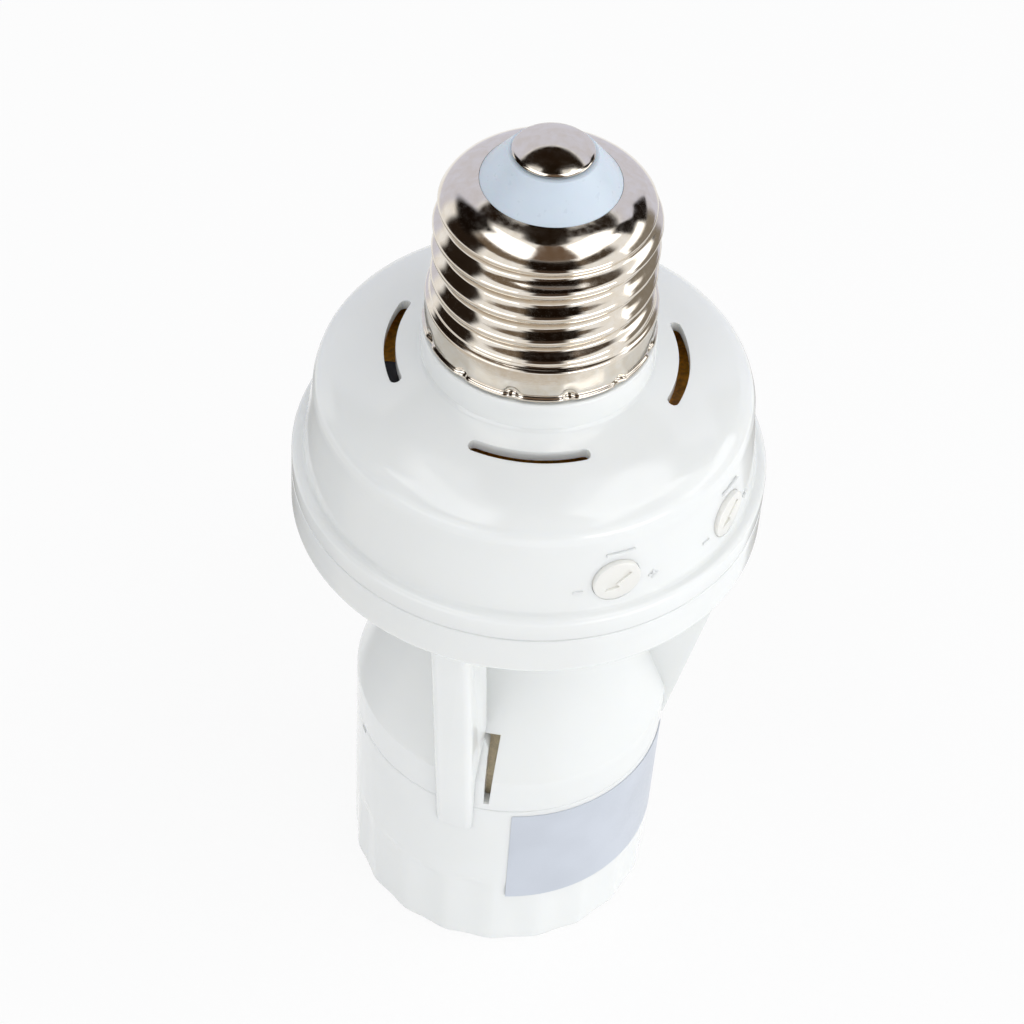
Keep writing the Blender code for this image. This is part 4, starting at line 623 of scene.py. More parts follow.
def upper_section():
    """Return the closed section of the domed upper housing."""
    dome = flowing([(14.25, COLLAR_FOOT - 0.10), (15.6, COLLAR_FOOT - 0.38), (17.46, COLLAR_FOOT - 0.88),
                    (20.87, COLLAR_FOOT - 1.98), (23.77, COLLAR_FOOT - 3.22), (25.16, COLLAR_FOOT - 4.10),
                    (26.11, COLLAR_FOOT - 5.05), (WALL_RADIUS, COLLAR_FOOT - 6.35)], 6)
    outer = rounded([(10.0, CAP_FOOT + 7.1, 0.3), (11.4, CAP_FOOT + 7.1, 0.4), (12.9, CAP_FOOT + 3.6, 0.3),
                     (12.9, COLLAR_TOP, 0.0), (13.93, COLLAR_TOP, 0.30), (13.93, COLLAR_FOOT + 0.15, 0.0)])
    outer = [point for point in outer if point[0] > 10.2]
    foot = rounded([(26.70, 84.6, 0.0), (27.66, PARTING + 3.2, 0.5), (FLANGE_RADIUS, PARTING + 3.1, 0.75),
                    (FLANGE_RADIUS, PARTING + SEAM, 0.2), (26.7, PARTING + SEAM, 0.0),
                    (26.7, PARTING - 2.5, 0.2), (25.2, PARTING - 2.5, 0.2),
                    (24.95, CREASE - 2.4, 0.8), (20.2, COLLAR_FOOT - 2.95, 3.0),
                    (14.0, COLLAR_FOOT - 1.35, 0.5), (10.0, COLLAR_FOOT - 1.85, 0.0)])
    return outer + dome + foot + [(10.0, CAP_FOOT + 6.8)]


def build_upper_housing(sizes, white):
    """Domed housing with its vents and knob holes."""
    housing = lathe("upper_housing_moulding", dense(upper_section(), 1.2), 192)
    for azimuth in (0.0, 90.0, 180.0, 270.0):
        combine(housing, vent_cutter(azimuth, sizes.vent_width / MM), "DIFFERENCE")
    for azimuth in KNOB_AZIMUTHS.values():
        hole = extrude_outline("knob_hole", circle(KNOB_RADIUS + 0.04, 48), 6.0,
                               radial_matrix(azimuth, 23.5, KNOB_HEIGHT))
        combine(housing, hole, "DIFFERENCE")
    finish_piece(housing, white, replaces=["upper_housing"])


# Knobs

def arrow_outline(length, half_stem, half_head):
    """Return an arrow that points up the second axis."""
    neck = 0.10 * length
    return [(-half_stem, -0.5 * length), (half_stem, -0.5 * length), (half_stem, neck), (half_head, neck),
            (0.0, 0.5 * length), (-half_head, neck), (-half_stem, neck)]


def build_knobs(colours):
    """Set knobs with an arrow-shaped screwdriver slot."""
    head, shaft, slot_depth, slot_turn = 2.0, 1.5, 0.25, math.radians(130.0)
    face = wall_radius(KNOB_HEIGHT) + 0.2
    reach = face - 22.9
    ivory = moulded_abs("ivory-edged moulded knob", tuple(colours.knob), 0.16)
    for name, azimuth in KNOB_AZIMUTHS.items():
        section = rounded([(0.0, 0.0, 0.0), (KNOB_RADIUS, 0.0, 0.18), (KNOB_RADIUS, -head, 0.1),
                           (shaft, -head, 0.1), (shaft, -reach, 0.1), (0.0, -reach, 0.0)])
        knob = lathe(name + "_set_knob", dense(section, 0.8), 72)
        slot = extrude_outline("slot", arrow_outline(4.0, 0.42, 1.10), 2.0,
                               Matrix.Rotation(slot_turn, 4, "Z")
                               @ Matrix.Translation((0.0, 0.0, -slot_depth * MM)))
        combine(knob, slot, "DIFFERENCE")
        knob.data.transform(radial_matrix(azimuth, face, KNOB_HEIGHT))
        finish_piece(knob, ivory, body=name + "_knob", replaces=[name + "_knob"])


def wall_ribbon(verts, faces, azimuth, points, width, height):
    """Add a closed raised ribbon on the upper housing's wall, along points given beside a knob's centre."""
    first = len(verts)
    for index, (side, up) in enumerate(points):
        before, after = points[max(0, index - 1)], points[min(len(points) - 1, index + 1)]
        along = Vector((after[0] - before[0], after[1] - before[1])).normalized()
        for edge, level in ((-1.0, -0.2), (1.0, -0.2), (1.0, height), (-1.0, height)):
            here = Vector((side, up)) + Vector((-along.y, along.x)) * 0.5 * width * edge
            radius = wall_radius(KNOB_HEIGHT + here.y)
            verts.append(polar(radius + level, azimuth + math.degrees(here.x / radius), KNOB_HEIGHT + here.y))
    for index in range(len(points) - 1):
        low = first + 4 * index
        for corner in range(4):
            after = (corner + 1) % 4
            faces.append((low + corner, low + after, low + 4 + after, low + 4 + corner))
    last = len(verts) - 4
    faces.append((first + 3, first + 2, first + 1, first))
    faces.append((last, last + 1, last + 2, last + 3))


def build_wall_marks(white):
    """Raised bar, plus and minus beside each knob."""
    verts, faces = [], []
    bar = [(-1.4 + 0.4 * step, 4.1) for step in range(10)]
    minus, plus = [(x, -0.9) for x in (-5.3, -4.7, -4.1)], [(x, -0.9) for x in (4.2, 4.8, 5.4)]
    plus_upright = [(4.8, y) for y in (-1.5, -0.9, -0.3)]
    for azimuth in KNOB_AZIMUTHS.values():
        for points, width, height in ((bar, 0.34, 0.12), (minus, 0.30, 0.10), (plus, 0.30, 0.10),
                                      (plus_upright, 0.30, 0.09)):
            wall_ribbon(verts, faces, azimuth, points, width, height)
    finish_piece(mesh_object("wall_marks_moulding", verts, faces), white)


# Lower housing

def lower_section():
    """Return the closed section of ring, floor, neck, shoulder and spigot."""
    return rounded([
        (27.2, PARTING - SEAM, 0.0), (RING_RADIUS, PARTING - SEAM, 0.25), (RING_RADIUS, RING_FOOT, 0.8),
        (10.6, RING_FOOT, 1.0), (NECK_RADIUS, NECK_TOP, 6.0), (SHOULDER_RADIUS, SHOULDER, 1.8),
        (20.44, BARREL_TOP + SEAM, 0.15), (17.7, BARREL_TOP + SEAM, 0.0), (17.7, BARREL_TOP - 5.7, 0.2),
        (16.0, BARREL_TOP - 5.7, 0.2), (16.0, BARREL_TOP + 0.2, 0.0), (18.60, BARREL_TOP + 0.4, 0.0),
        (18.60, SHOULDER - 0.9, 0.8), (8.2, RING_FOOT - 5.9, 1.0), (7.9, RING_FOOT + 1.8, 0.0),
        (27.0, RING_FOOT + 1.8, 0.2)])


def leg_radius(height):
    """Return the radius of a leg's outer face at a height."""
    return 20.7 + LEG_LEAN * (height - LEG_FOOT)


def make_leg(azimuth):
    """Leg with rounded outer edges, its foot let into the barrel."""
    top, width, depth = RING_FOOT + 0.9, 5.1, 6.0
    edge_round = sink = 0.95
    inner = leg_radius(LEG_FOOT) - 1.1
    slope = (SHOULDER_RADIUS - NECK_RADIUS) / (NECK_TOP - SHOULDER)
    meet = SHOULDER + (SHOULDER_RADIUS - sink - (leg_radius(SHOULDER) - depth)) / (slope + LEG_LEAN)
    outline = [(leg_radius(top), top), (leg_radius(LEG_FOOT), LEG_FOOT), (inner, LEG_FOOT),
               (inner, SHOULDER), (leg_radius(meet) - depth, meet), (leg_radius(top) - depth, top)]
    shape = extruded(outline, width)
    front = [edge for edge in shape.edges
             if abs(edge.verts[0].co.z - edge.verts[1].co.z) < 1e-7
             and all(abs(v.co.x / MM - leg_radius(v.co.y / MM)) < 1e-4 for v in edge.verts)]
    bmesh.ops.bevel(shape, geom=front, offset=edge_round * MM, segments=6, profile=0.5, affect="EDGES")
    # The outline's first axis becomes outward and its third axis sideways, with the leg's middle at 0
    placed = (radial_matrix(azimuth, 0.0, 0.0) @ Matrix.Rotation(math.radians(-90.0), 4, "Y")
              @ Matrix.Translation((0.0, 0.0, -0.5 * width * MM)))
    return place_shape("leg", shape, placed)


def pod_wedge(inset):
    """Upright wedge between the pod's azimuths, its sides moved in by an inset."""
    reach, height = 60.0, 100.0
    start, end = POD_AZIMUTHS
    apex = polar(inset / math.sin(math.radians(0.5 * (end - start))), 0.5 * (start + end), 0.0)
    corners = [apex, apex + polar(reach, start, 0.0), apex + polar(reach, end, 0.0)]
    return extrude_outline("wedge", [(point.x / MM, point.y / MM) for point in corners], height,
                           Matrix.Identity(4))


def make_pod():
    """Wing of the sensor pod between the ring and the shoulder."""
    top, foot, wing, inside = RING_FOOT + 0.9, 29.6, 19.5, 8.9
    section = [(28.59, top), (20.6, foot), (wing, foot), (wing, SHOULDER), (inside, NECK_TOP), (inside, top)]
    body = lathe("pod", dense(section, 3.0), 192)
    combine(body, pod_wedge(0.0), "INTERSECT")
    return body


def pod_space():
    """Hollow of the pod, open to the ring."""
    low, high, wall = 39.0, 70.0, 1.8
    section = [(26.6, high), (26.6, 66.3), (20.8, low), (neck_radius(low) + 0.2, low), (12.5, 56.8),
               (12.5, high)]
    space = lathe("pod_space", section, 96)
    combine(space, pod_wedge(wall), "INTERSECT")
    return space


def build_lower_housing(white):
    """Ring, neck and shoulder with legs, pod, slit and lens holes."""
    housing = lathe("lower_housing_moulding", dense(lower_section(), 1.6), 192)
    combine(housing, make_pod(), "UNION")
    for azimuth in LEG_AZIMUTHS:
        combine(housing, make_leg(azimuth), "UNION")
    combine(housing, pod_space(), "DIFFERENCE")
    slit = [(-0.35, 30.2), (0.35, 30.2), (0.62, 36.0), (0.95, 41.4), (-1.45, 41.4), (-1.15, 40.8),
            (-0.45, 39.4), (-0.38, 36.0)]
    cutter = extrude_outline("slit", slit, 30.0, radial_matrix(-5.2, 15.5, 0.0))
    combine(housing, cutter, "DIFFERENCE")
    lens_hole, light_hole = (LENS_RADIUS + 0.3, LENS_AZIMUTH, 64), (2.8, 203.0, 40)
    for radius, azimuth, steps in (lens_hole, light_hole):
        foot = polar(LENS_REACH, azimuth, RING_FOOT - 1.0)
        hole = extrude_outline("hole", circle(radius, steps), 4.0, Matrix.Translation(foot))
        combine(housing, hole, "DIFFERENCE")
    finish_piece(housing, white, replaces=["lower_housing"])


def build_sleeve(colours):
    """Rolled sleeve of insulating board, seen through the shoulder's slit."""
    sheet = 0.3
    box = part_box("insulating_sleeve")
    outer, low, high = box[1][0] / MM, BARREL_TOP + 0.5, box[1][2] / MM
    bend = SHOULDER - 0.6
    reach = outer - (high - bend) * SHOULDER_SLOPE
    section = [(outer, low), (outer, bend), (reach, high), (reach - sheet, high),
               (outer - sheet, bend - 0.1), (outer - sheet, low)]
    sleeve = lathe("rolled_board_sleeve", dense(section, 1.0), 128)
    # The sleeve's tan is paler than the board itself, so that it looks lit deep in the slit: painted light
    finish_piece(sleeve, pressed_board("pressed tan insulating board", tuple(colours.sleeve)),
                 replaces=["insulating_sleeve"])


# Socket barrel and plate

def build_barrel(sizes, white):
    """Fluted barrel with its foot seats and notch."""
    top = BARREL_TOP - SEAM
    flute_top, flute_fade, rim_radius = 13.4, 1.2, 19.0
    section = rounded([(18.0, top, 0.0), (20.40, top, 0.25), (20.30, 14.0, 0.0), (20.20, 0.0, 0.55),
                       (16.4, 0.0, 0.4), (16.4, 3.0, 0.0), (18.0, 3.0, 0.0)])
    barrel = lathe("barrel_moulding", dense(section, 0.7), 360)
    for vertex in barrel.data.vertices:
        x, y, z = vertex.co / MM
        radius = math.hypot(x, y)
        if radius < rim_radius or z > flute_top:
            continue
        wave = 0.5 - 0.5 * math.cos(math.atan2(x, -y) * sizes.flutes)
        fade = min(1.0, (flute_top - z) / flute_fade) * min(1.0, radius - rim_radius)
        scale = 1.0 - sizes.flute_depth / MM * wave ** 0.8 * fade / radius
        vertex.co = (x * scale * MM, y * scale * MM, z * MM)
    half, foot, above = 2.25, LEG_FOOT - 0.05, 30.0
    seat = [(-half, foot), (half, foot), (half, above), (-half, above)]
    notch = [(-0.9, 27.9), (0.6, 27.9), (0.9, above), (-0.9, above)]
    for outline, azimuth, inside in ((seat, LEG_AZIMUTHS[0], 19.3), (seat, LEG_AZIMUTHS[1], 19.3),
                                     (notch, -66.5, 19.2)):
        cutter = extrude_outline("cutter", outline, 4.0, radial_matrix(azimuth, inside, 0.0))
        combine(barrel, cutter, "DIFFERENCE")
    finish_piece(barrel, white, replaces=["socket_barrel"])


def build_plate(sizes, colours):
    """Blank rating plate, bent round the barrel."""
    start, sweep, foot, rise = 4.5, 80.0, 10.4, 17.6
    steps_across, steps_up = 60, 14
    verts = []
    for level in (0.0, 1.0):
        for across in range(steps_across + 1):
            for up in range(steps_up + 1):
                height = foot + rise * up / steps_up
                azimuth = start + sweep * across / steps_across
                wall = 20.2 + 0.2 * height / BARREL_TOP + 0.02 + level * sizes.plate_thickness / MM
                verts.append(polar(wall, azimuth, height))
    stride = steps_up + 1
    sheet = (steps_across + 1) * stride
    inner = grid_faces(steps_across + 1, stride)
    outer = [tuple(sheet + index for index in reversed(face)) for face in inner]
    rim = [across * stride for across in range(steps_across + 1)]
    rim += [steps_across * stride + up for up in range(1, stride)]
    rim += [across * stride + steps_up for across in range(steps_across - 1, -1, -1)]
    rim += list(range(steps_up - 1, 0, -1))
    edges = [(here, after, after + sheet, here + sheet) for here, after in zip(rim, rim[1:] + rim[:1])]
    plate = mesh_object("rating_plate", verts, inner + outer + edges)
    film = printed_film("silver-grey polyester label film", tuple(colours.plate))
    finish_piece(plate, film)


# Lamp socket

def build_socket(sizes, colours):
    """Phenolic insert, threaded cup, rivets and springy tongue inside the barrel."""
    tan = pressed_phenolic("pressed tan phenolic", tuple(colours.phenolic))
    floor, ceiling, rim, step, foot = 30.9, 26.9, 42.8, 23.0, 3.3
    outside, chamber, bore = 17.7, 15.3, 14.05
    section = rounded([(0.0, floor, 0.0), (13.1, floor, 0.4), (13.1, rim, 0.2), (13.9, rim, 0.2),
                       (chamber, rim - 3.0, 0.4), (chamber, step, 0.0), (outside, step, 0.3),
                       (outside, foot, 0.3), (bore, foot, 0.3), (bore, ceiling, 0.4), (0.0, ceiling, 0.0)])
    insert = lathe("insert_moulding", dense(section, 2.0), 128)
    finish_piece(insert, tan, replaces=["socket_insert"])

    nickel = nickel_plate("bright nickel plate on rolled brass", tuple(colours.nickel), 0.16)
    pitch = sizes.thread_pitch / MM
    radius, foot, thread_top, top = 13.75, 6.0, 25.4, 26.6
    depth, rows = 1.07, 90
    line = [(radius, foot + (thread_top - foot) * row / rows) for row in range(rows + 1)]
    line += flowing([(radius, thread_top + 0.15), (13.55, top - 0.5), (13.0, top - 0.1), (12.2, top),
                     (7.0, top)], 4)

    def pushed(azimuth, _, height):
        """Return the depth of the rolled thread."""
        return depth * thread_wave(azimuth, height, pitch, (foot, thread_top), (0.5, 0.5))

    cup = roll_sheet("lamp_thread_cup", line, 0.35, 144, pushed)
    finish_piece(cup, nickel, replaces=["socket_shell"], sharp=50.0)
    coat(nickel, "shell_rivet", "contact_anchor", "contact_tongue", "board_screw_left",
         "board_screw_right", "pir_sensor")


# Sensor and boards

def build_sensor(colours):
    """Faceted lens under the ring."""
    milk = blown_polyethylene("milky moulded polyethylene", tuple(colours.lens))
    centre = polar(LENS_REACH, LENS_AZIMUTH, 0.0)
    spring, seat = RING_FOOT - 1.2, RING_FOOT + 2.1
    flange, inside, facet, groove_depth = 7.2, 5.5, 22.5, 0.10

    def arc(radius, angles):
        """Return the points of an arc about the lens's spring line."""
        return [(radius * math.cos(math.radians(angle)), spring - radius * math.sin(math.radians(angle)))
                for angle in angles]

    outer = [(flange, seat + 0.8), (flange, seat), (LENS_RADIUS, seat), (LENS_RADIUS, spring)]
    outer += [*arc(LENS_RADIUS, range(3, 88, 3)), (0.0, spring - LENS_RADIUS)]
    inner = [(0.0, spring - inside), *arc(inside, range(84, 0, -6)), (inside, spring), (inside, seat + 0.8)]
    lens = lathe("lens_dome", inner + outer, 96, (centre.x, centre.y))
    for vertex in lens.data.vertices:
        arm = vertex.co - Vector((centre.x, centre.y, spring * MM))
        length = arm.length / MM
        if vertex.co.z < spring * MM and length > 6.0:
            down = math.degrees(math.asin(max(-1.0, min(1.0, -arm.z / arm.length))))
            row = abs((down % facet) - 0.5 * facet) / (0.5 * facet)
            half = 15.0 if down < 45.0 else 30.0
            turn = math.degrees(math.atan2(arm.y, arm.x)) % (2.0 * half)
            side = abs(turn - half) / half
            groove = max(bell(1.0 - row, 0.16), bell(1.0 - side, 0.14) if down < 80.0 else 0.0)
            vertex.co -= arm.normalized() * groove_depth * groove * MM
    finish_piece(lens, milk, replaces=["fresnel_lens"])


def build_board_parts(colours):
    """Give the boards, components and wires their finishes, and add two small parts to the board."""
    relay_case = cast_resin("black moulded relay case", linear("23242A"), 0.42)
    brown = extruded_insulation("brown extruded insulation", linear("6B3F22"))
    blue = extruded_insulation("blue extruded insulation", linear("2A5C9A"))
    # The board's colour is paler than a brown board, so that it looks lit deep under the vents: painted light
    coat(paper_laminate("phenolic paper board", tuple(colours.board)), "circuit_board", "sensor_board")
    coat(cast_resin("ochre moulded capacitor case", linear("C79A3A")), "film_capacitor")
    coat(cast_resin("dark shrunk sleeve", linear("262C3E"), 0.30), "electrolytic_capacitor")
    coat(cast_resin("grey-green baked resistor coating", linear("7E8A80"), 0.55), "dropper_resistor")
    coat(cast_resin("clear-coated amber photocell", linear("B9772F"), 0.20), "light_sensor")
    coat(relay_case, "relay", "time_trimmer", "lux_trimmer", "sensor_header")
    coat(brown, "lamp_live_wire", "cap_live_wire")
    coat(blue, "lamp_neutral_wire", "cap_neutral_wire")
    lifted = Matrix.Translation((0.0, 0.0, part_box("circuit_board")[1][2] + 0.02 * MM))
    for name, low, high in (("board_bridge_part", (-19.3, -4.6), (-15.0, 0.4)),
                            ("board_chip_part", (4.0, -19.6), (7.0, -16.2))):
        outline = [low, (high[0], low[1]), high, (low[0], high[1])]
        part = extrude_outline(name, outline, 1.5, lifted)
        finish_piece(part, relay_case)


# Stage

CAMERA_PLACE = (0.0, -255.553, 336.541)
CAMERA_LENS = 104.87
AIM_HEIGHT = 0.07

# Cards round the cap that glow with their own colour and are seen only in reflections, as painted reflections
# and painted shade: name, azimuths, elevations, glow colour, distance in metres, softness of the edges
CARDS = (
    ("card_zenith", (-112.0, 112.0), (77.0, 103.0), "1E150C", 0.88, 0.10),
    ("card_ceiling_behind", (113.0, 247.0), (49.0, 85.0), "231910", 0.90, 0.08),
    ("card_ceiling_front", (-22.0, 48.0), (46.0, 82.0), "6B5746", 0.92, 0.14),
    ("card_brow", (-100.0, 68.0), (30.0, 47.0), "726353", 0.94, 0.16),
    ("card_lens", (-24.0, 42.0), (21.0, 51.0), "180F08", 0.86, 0.16),
    ("card_front", (-14.0, 27.0), (-10.0, 31.0), "483B31", 0.92, 0.18),
    ("card_left", (-113.0, -60.0), (-14.0, 39.0), "271E17", 0.90, 0.16),
    ("card_left_high", (-132.0, -80.0), (18.0, 65.0), "140D08", 0.88, 0.20),
    ("card_right_high", (100.0, 125.0), (27.0, 55.0), "1E1814", 0.88, 0.17),
    ("card_right_streak", (115.0, 141.0), (13.0, 38.0), "1E1814", 0.88, 0.15),
    ("card_right", (80.0, 134.0), (-24.0, 20.0), "8C857B", 0.94, 0.16),
    ("card_back_wall", (118.0, 242.0), (-17.0, 51.0), "DDDFEF", 1.00, 0.07),
    ("card_floor_front", (-120.0, 42.0), (-58.0, -18.0), "D5CEC5", 0.96, 0.12),
    ("card_brow_right", (38.0, 86.0), (30.0, 50.0), "4A3F34", 0.91, 0.26),
    ("card_floor_left", (-150.0, -78.0), (-58.0, -28.0), "959491", 0.92, 0.20),
    ("card_floor_right", (118.0, 164.0), (-58.0, -28.0), "A09E9A", 0.94, 0.20),
)


def background(tree, strength, shade):
    """Return a shader that is plain white to the camera and in reflections, and a shade elsewhere."""
    rays = add_node(tree, "ShaderNodeLightPath")
    seen = add_node(tree, "ShaderNodeMath", {"operation": "MAXIMUM"},
                    {0: rays.outputs["Is Camera Ray"], 1: rays.outputs["Is Glossy Ray"]})
    seen = add_node(tree, "ShaderNodeMath", {"operation": "MAXIMUM"},
                    {0: seen.outputs[0], 1: rays.outputs["Is Transmission Ray"]})
    share = add_node(tree, "ShaderNodeMath", {"operation": "MULTIPLY", 1: strength}, {0: seen.outputs[0]})
    return add_node(tree, "ShaderNodeMixShader", links={0: share.outputs[0], 1: shade})


def stand_camera(sizes):
    """Camera in the place that was fitted to the cap and to the round rims."""
    yaw, pitch, roll = sizes.camera_yaw, sizes.camera_pitch, sizes.camera_roll
    forward = Vector((math.sin(yaw) * math.cos(pitch), math.cos(yaw) * math.cos(pitch), -math.sin(pitch)))
    across = forward.cross(Vector((0.0, 0.0, 1.0))).normalized()
    above = across.cross(forward)
    right = math.cos(roll) * across + math.sin(roll) * above
    up = math.cos(roll) * above - math.sin(roll) * across
    matrix = Matrix((right, up, -forward)).transposed().to_4x4()
    matrix.translation = Vector(CAMERA_PLACE) * MM
    data = bpy.data.cameras.new("photo_camera")
    data.sensor_width = 36.0
    data.lens = CAMERA_LENS
    data.clip_start = 0.01
    data.clip_end = 20.0
    camera = put("photo_camera", data)
    camera.matrix_world = matrix
    bpy.context.scene.camera = camera
    bpy.context.scene.view_settings.view_transform = "Standard"


def light_room(sizes, colours):
    """Even room light, white to the camera."""
    world = bpy.data.worlds.new("studio")
    bpy.context.scene.world = world
    tree = bare_tree(world)
    room = add_node(tree, "ShaderNodeBackground",
                    {"Color": (*colours.room, 1.0), "Strength": sizes.room_level})
    white = add_node(tree, "ShaderNodeBackground", {"Color": (1.0, 1.0, 1.0, 1.0), "Strength": 1.0})
    mix = background(tree, 1.0, room.outputs[0])
    tree.links.new(white.outputs[0], mix.inputs[2])
    add_node(tree, "ShaderNodeOutputWorld", links={"Surface": mix.outputs[0]})


def lay_floor(sizes, colours):
    """Matt white studio paper, nearly white to the camera and clear from below."""
    half = 1.6
    corners = [(-half, -half, 0.0), (half, -half, 0.0), (half, half, 0.0), (-half, half, 0.0)]
    floor = put("floor", new_mesh("floor", corners, [(0, 1, 2, 3)]))
    paper = bpy.data.materials.new("matt white studio paper")
    tree = bare_tree(paper)
    matt = add_node(tree, "ShaderNodeBsdfDiffuse", {"Color": (*colours.floor, 1.0)})
    glow = add_node(tree, "ShaderNodeEmission", {"Color": (1.0, 1.0, 1.0, 1.0), "Strength": 1.0})
    mix = background(tree, sizes.floor_glow, matt.outputs[0])
    tree.links.new(glow.outputs[0], mix.inputs[2])
    below = add_node(tree, "ShaderNodeNewGeometry").outputs["Backfacing"]
    clear = add_node(tree, "ShaderNodeBsdfTransparent")
    both = add_node(tree, "ShaderNodeMixShader", links={0: below, 1: mix.outputs[0], 2: clear.outputs[0]})
    add_node(tree, "ShaderNodeOutputMaterial", links={"Surface": both.outputs[0]})
    floor.data.materials.append(paper)


def hang_softboxes(sizes):
    """Soft lamps round the holder; each level is the lamp's radiance."""
    for name, azimuth, elevation, distance, width, height, level in (
            ("right_softbox", 46.0, 0.0, 0.75, 0.50, 0.20, sizes.right_level),
            ("left_softbox", -40.0, 0.0, 0.80, 0.50, 0.34, sizes.left_level),
            ("side_softbox", 100.0, 12.0, 1.15, 0.80, 0.70, sizes.side_level),
            ("high_right_softbox", 68.0, 61.0, 1.15, 1.00, 0.56, sizes.high_level),
            ("high_left_softbox", -56.0, 61.0, 1.15, 0.95, 0.50, 0.85 * sizes.high_level)):
        lamp = bpy.data.lights.new(name, "AREA")
        lamp.shape = "RECTANGLE"
        lamp.size = width
        lamp.size_y = height
        lamp.energy = level * math.pi * width * height
        aim_at(put(name, lamp), azimuth, elevation, distance)


def stand_card(name, azimuths, elevations, tone, distance, softness):
    """Stand a curved card round the screw cap, given by the directions that it fills."""
    across, up = 16, 10
    # Where a card meets the floor it lies on it, the nearer card higher
    lift = 3.0 + 30.0 * (1.0 - distance)
    verts = []
    for column in range(across + 1):
        azimuth = azimuths[0] + (azimuths[1] - azimuths[0]) * column / across
        for row in range(up + 1):
            rise = math.radians(elevations[0] + (elevations[1] - elevations[0]) * row / up)
            reach = distance / MM
            if rise < 0.0:
                reach = min(reach, (CAP_FOOT - lift) / math.sin(-rise))
            point = polar(reach * math.cos(rise), azimuth, reach * math.sin(rise))
            verts.append(point + Vector((0.0, 0.0, CAP_FOOT * MM)))
    mesh = new_mesh(name, verts, grid_faces(across + 1, up + 1))
    layer = mesh.uv_layers.new(name="UVMap")
    for loop in mesh.loops:
        column, row = divmod(loop.vertex_index, up + 1)
        layer.data[loop.index].uv = (column / across, row / up)
    mesh.materials.append(reflection_glow_card(name, linear(tone), softness))
    board = put(name, mesh)
    # Seen only by glossy rays, the card's glow is a painted reflection
    board.visible_camera = False
    board.visible_diffuse = False
    board.visible_shadow = False
    board.visible_transmission = False


def aim_at(obj, azimuth, elevation, distance):
    """Stand an object off the holder in a direction, facing it."""
    target = Vector((0.0, 0.0, AIM_HEIGHT))
    rise = math.radians(elevation)
    level = polar(1.0 / MM, azimuth, 0.0)
    away = Vector((level.x * math.cos(rise), level.y * math.cos(rise), math.sin(rise)))
    turn = away.to_track_quat("Z", "Y").to_matrix().to_4x4()
    obj.matrix_world = Matrix.Translation(target + away * distance) @ turn


# Properties

def length_property(name, description, default):
    """Return a property that holds a length in metres."""
    return bpy.props.FloatProperty(name=name, description=description, default=default, unit="LENGTH",
                                   precision=5)


def angle_property(name, description, default):
    """Return a property that holds an angle in radians."""
    return bpy.props.FloatProperty(name=name, description=description, default=default, unit="ROTATION")


def number_property(name, description, default):
    """Return a property that holds a plain number."""
    return bpy.props.FloatProperty(name=name, description=description, default=default)


def colour_property(name, description, code):
    """Return a property that holds a colour, given as sRGB hex."""
    return bpy.props.FloatVectorProperty(name=name, description=description, subtype="COLOR",
                                         default=linear(code))


class LampHolderSizes(bpy.types.PropertyGroup):
    """Sizes that a user may change."""

    thread_pitch: length_property("Thread pitch", "Rise of one thread turn", 0.003629)
    thread_depth: length_property("Thread depth", "Depth of the rolled thread", 0.00102)
    thread_phase: number_property("Thread start", "Start of the thread, in turns", 0.73)
    crimp_depth: length_property("Crimp depth", "Depth of a crimp mark", 0.00048)
    crimp_azimuth: number_property("Crimp azimuth", "Azimuth of one crimp mark, in degrees", -10.5)
    flutes: bpy.props.IntProperty(name="Flutes", description="Number of flutes round the barrel's foot",
                                  default=20, min=3)
    flute_depth: length_property("Flute depth", "Depth of a flute at the foot", 0.00030)
    vent_width: length_property("Vent width", "Width of a vent slot", 0.0014)
    plate_thickness: length_property("Plate thickness", "Thickness of the plate film", 0.00009)
    camera_yaw: angle_property("Camera yaw", "Turn of the camera about +Z", -0.006)
    camera_pitch: angle_property("Camera pitch", "Tilt of the camera downwards", 0.818)
    camera_roll: angle_property("Camera roll", "Lean of the camera", 0.077)
    room_level: number_property("Room level", "Level of the even room light", 0.62)
    right_level: number_property("Right softbox", "Radiance of the right softbox", 4.2)
    left_level: number_property("Left softbox", "Radiance of the left softbox", 1.0)
    side_level: number_property("Side softbox", "Radiance of the side softbox", 1.2)
    high_level: number_property("High softboxes", "Radiance of the high softboxes", 1.35)
    floor_glow: number_property("Floor glow", "Share of plain white in the floor", 0.86)


class LampHolderColours(bpy.types.PropertyGroup):
    """Colours that a user may change."""

    plastic: colour_property("Housing", "White of the mouldings", "F1F3F2")
    knob: colour_property("Knob", "White of the set knobs", "F0EFEA")
    nickel: colour_property("Nickel", "Bright metal of the cap", "E6DFD5")
    insulator: colour_property("Insulator", "Cone under the contact", "D3DFEB")
    plate: colour_property("Plate", "Silver-grey film on the barrel", "CBD1DB")
    phenolic: colour_property("Phenolic", "Tan insert of the socket", "BFA47B")
    # Paler than the real board, so that the sleeve looks lit deep in the slit: painted light
    sleeve: colour_property("Sleeve", "Tan insulating board behind the slit", "F8E6C4")
    lens: colour_property("Lens", "Milky sensor lens", "F3F2EE")
    # Pale orange rather than brown, so that the board looks lit deep under the vents: painted light
    board: colour_property("Board", "Brown circuit board", "F0A83C")
    room: colour_property("Room", "Tint of the even room light", "FCFDFF")
    floor: colour_property("Floor", "Studio paper", "FAFAFA")


# Operators and panel

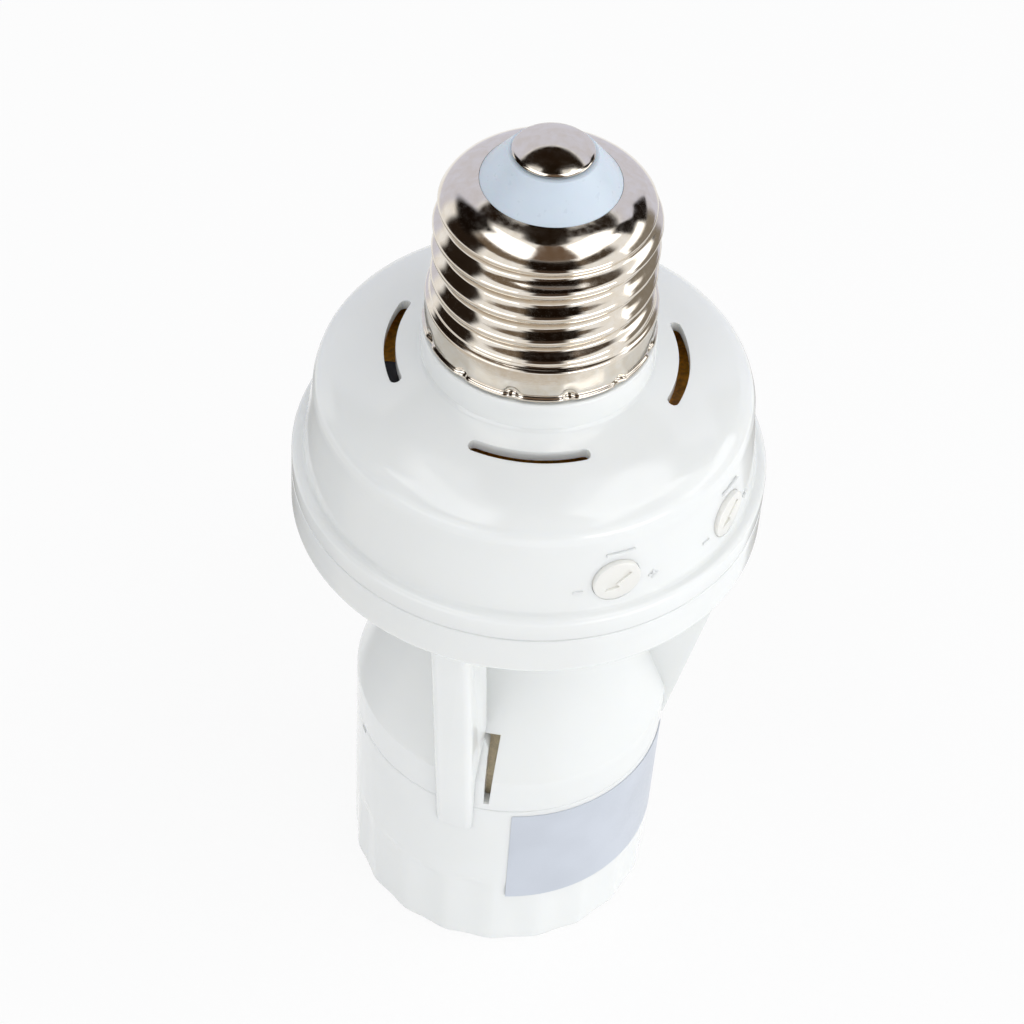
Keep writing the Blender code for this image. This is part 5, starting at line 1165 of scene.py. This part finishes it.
class LAMPHOLDER_OT_stage(bpy.types.Operator):
    """Set up the camera, the pale floor and the soft lamps"""

    bl_idname = "lampholder.stage"
    bl_label = "Stage"

    def execute(self, context):
        sizes, colours = context.scene.lamp_sizes, context.scene.lamp_colours
        stand_camera(sizes)
        light_room(sizes, colours)
        lay_floor(sizes, colours)
        hang_softboxes(sizes)
        for card in CARDS:
            stand_card(*card)
        return {"FINISHED"}


class LAMPHOLDER_OT_screw_cap(bpy.types.Operator):
    """Build the threaded cap, its insulator and its contact"""

    bl_idname = "lampholder.screw_cap"
    bl_label = "Screw cap"

    def execute(self, context):
        build_screw_cap(context.scene.lamp_sizes, context.scene.lamp_colours)
        return {"FINISHED"}


class LAMPHOLDER_OT_housings(bpy.types.Operator):
    """Build the upper housing, the lower housing, the sleeve, the barrel and its plate"""

    bl_idname = "lampholder.housings"
    bl_label = "Housings and barrel"

    def execute(self, context):
        sizes, colours = context.scene.lamp_sizes, context.scene.lamp_colours
        white = moulded_abs("gloss white moulded ABS", tuple(colours.plastic))
        build_upper_housing(sizes, white)
        build_wall_marks(white)
        build_lower_housing(white)
        build_sleeve(colours)
        build_barrel(sizes, white)
        build_plate(sizes, colours)
        return {"FINISHED"}


class LAMPHOLDER_OT_knobs(bpy.types.Operator):
    """Build the two set knobs"""

    bl_idname = "lampholder.knobs"
    bl_label = "Set knobs"

    def execute(self, context):
        build_knobs(context.scene.lamp_colours)
        return {"FINISHED"}


class LAMPHOLDER_OT_socket(bpy.types.Operator):
    """Build the insert and the threaded cup of the lamp socket"""

    bl_idname = "lampholder.socket"
    bl_label = "Lamp socket"

    def execute(self, context):
        build_socket(context.scene.lamp_sizes, context.scene.lamp_colours)
        return {"FINISHED"}


class LAMPHOLDER_OT_sensor(bpy.types.Operator):
    """Build the sensor lens and finish the parts inside the housing"""

    bl_idname = "lampholder.sensor"
    bl_label = "Sensor and boards"

    def execute(self, context):
        build_sensor(context.scene.lamp_colours)
        build_board_parts(context.scene.lamp_colours)
        return {"FINISHED"}


class LAMPHOLDER_PT_panel(bpy.types.Panel):
    """Sidebar panel that lists the builders"""

    bl_idname = "LAMPHOLDER_PT_panel"
    bl_label = "Lamp holder"
    bl_space_type = "VIEW_3D"
    bl_region_type = "UI"
    bl_category = "Lamp holder"

    def draw(self, context):
        for builder in OPERATORS:
            self.layout.operator(builder.bl_idname)
        for group in (context.scene.lamp_sizes, context.scene.lamp_colours):
            for name in group.__annotations__:
                self.layout.prop(group, name)


OPERATORS = (LAMPHOLDER_OT_stage, LAMPHOLDER_OT_screw_cap, LAMPHOLDER_OT_housings, LAMPHOLDER_OT_knobs,
             LAMPHOLDER_OT_socket, LAMPHOLDER_OT_sensor)
CLASSES = (LampHolderSizes, LampHolderColours, *OPERATORS, LAMPHOLDER_PT_panel)


def register():
    """Register the classes and the scene's properties."""
    for item in CLASSES:
        bpy.utils.register_class(item)
    bpy.types.Scene.lamp_sizes = bpy.props.PointerProperty(type=LampHolderSizes)
    bpy.types.Scene.lamp_colours = bpy.props.PointerProperty(type=LampHolderColours)


def unregister():
    """Remove the properties and the classes."""
    del bpy.types.Scene.lamp_colours
    del bpy.types.Scene.lamp_sizes
    for item in reversed(CLASSES):
        bpy.utils.unregister_class(item)


def main():
    """Build the whole model."""
    register()
    bpy.ops.lampholder.stage()
    bpy.ops.lampholder.screw_cap()
    bpy.ops.lampholder.housings()
    bpy.ops.lampholder.knobs()
    bpy.ops.lampholder.socket()
    bpy.ops.lampholder.sensor()


if __name__ == "__main__":
    main()
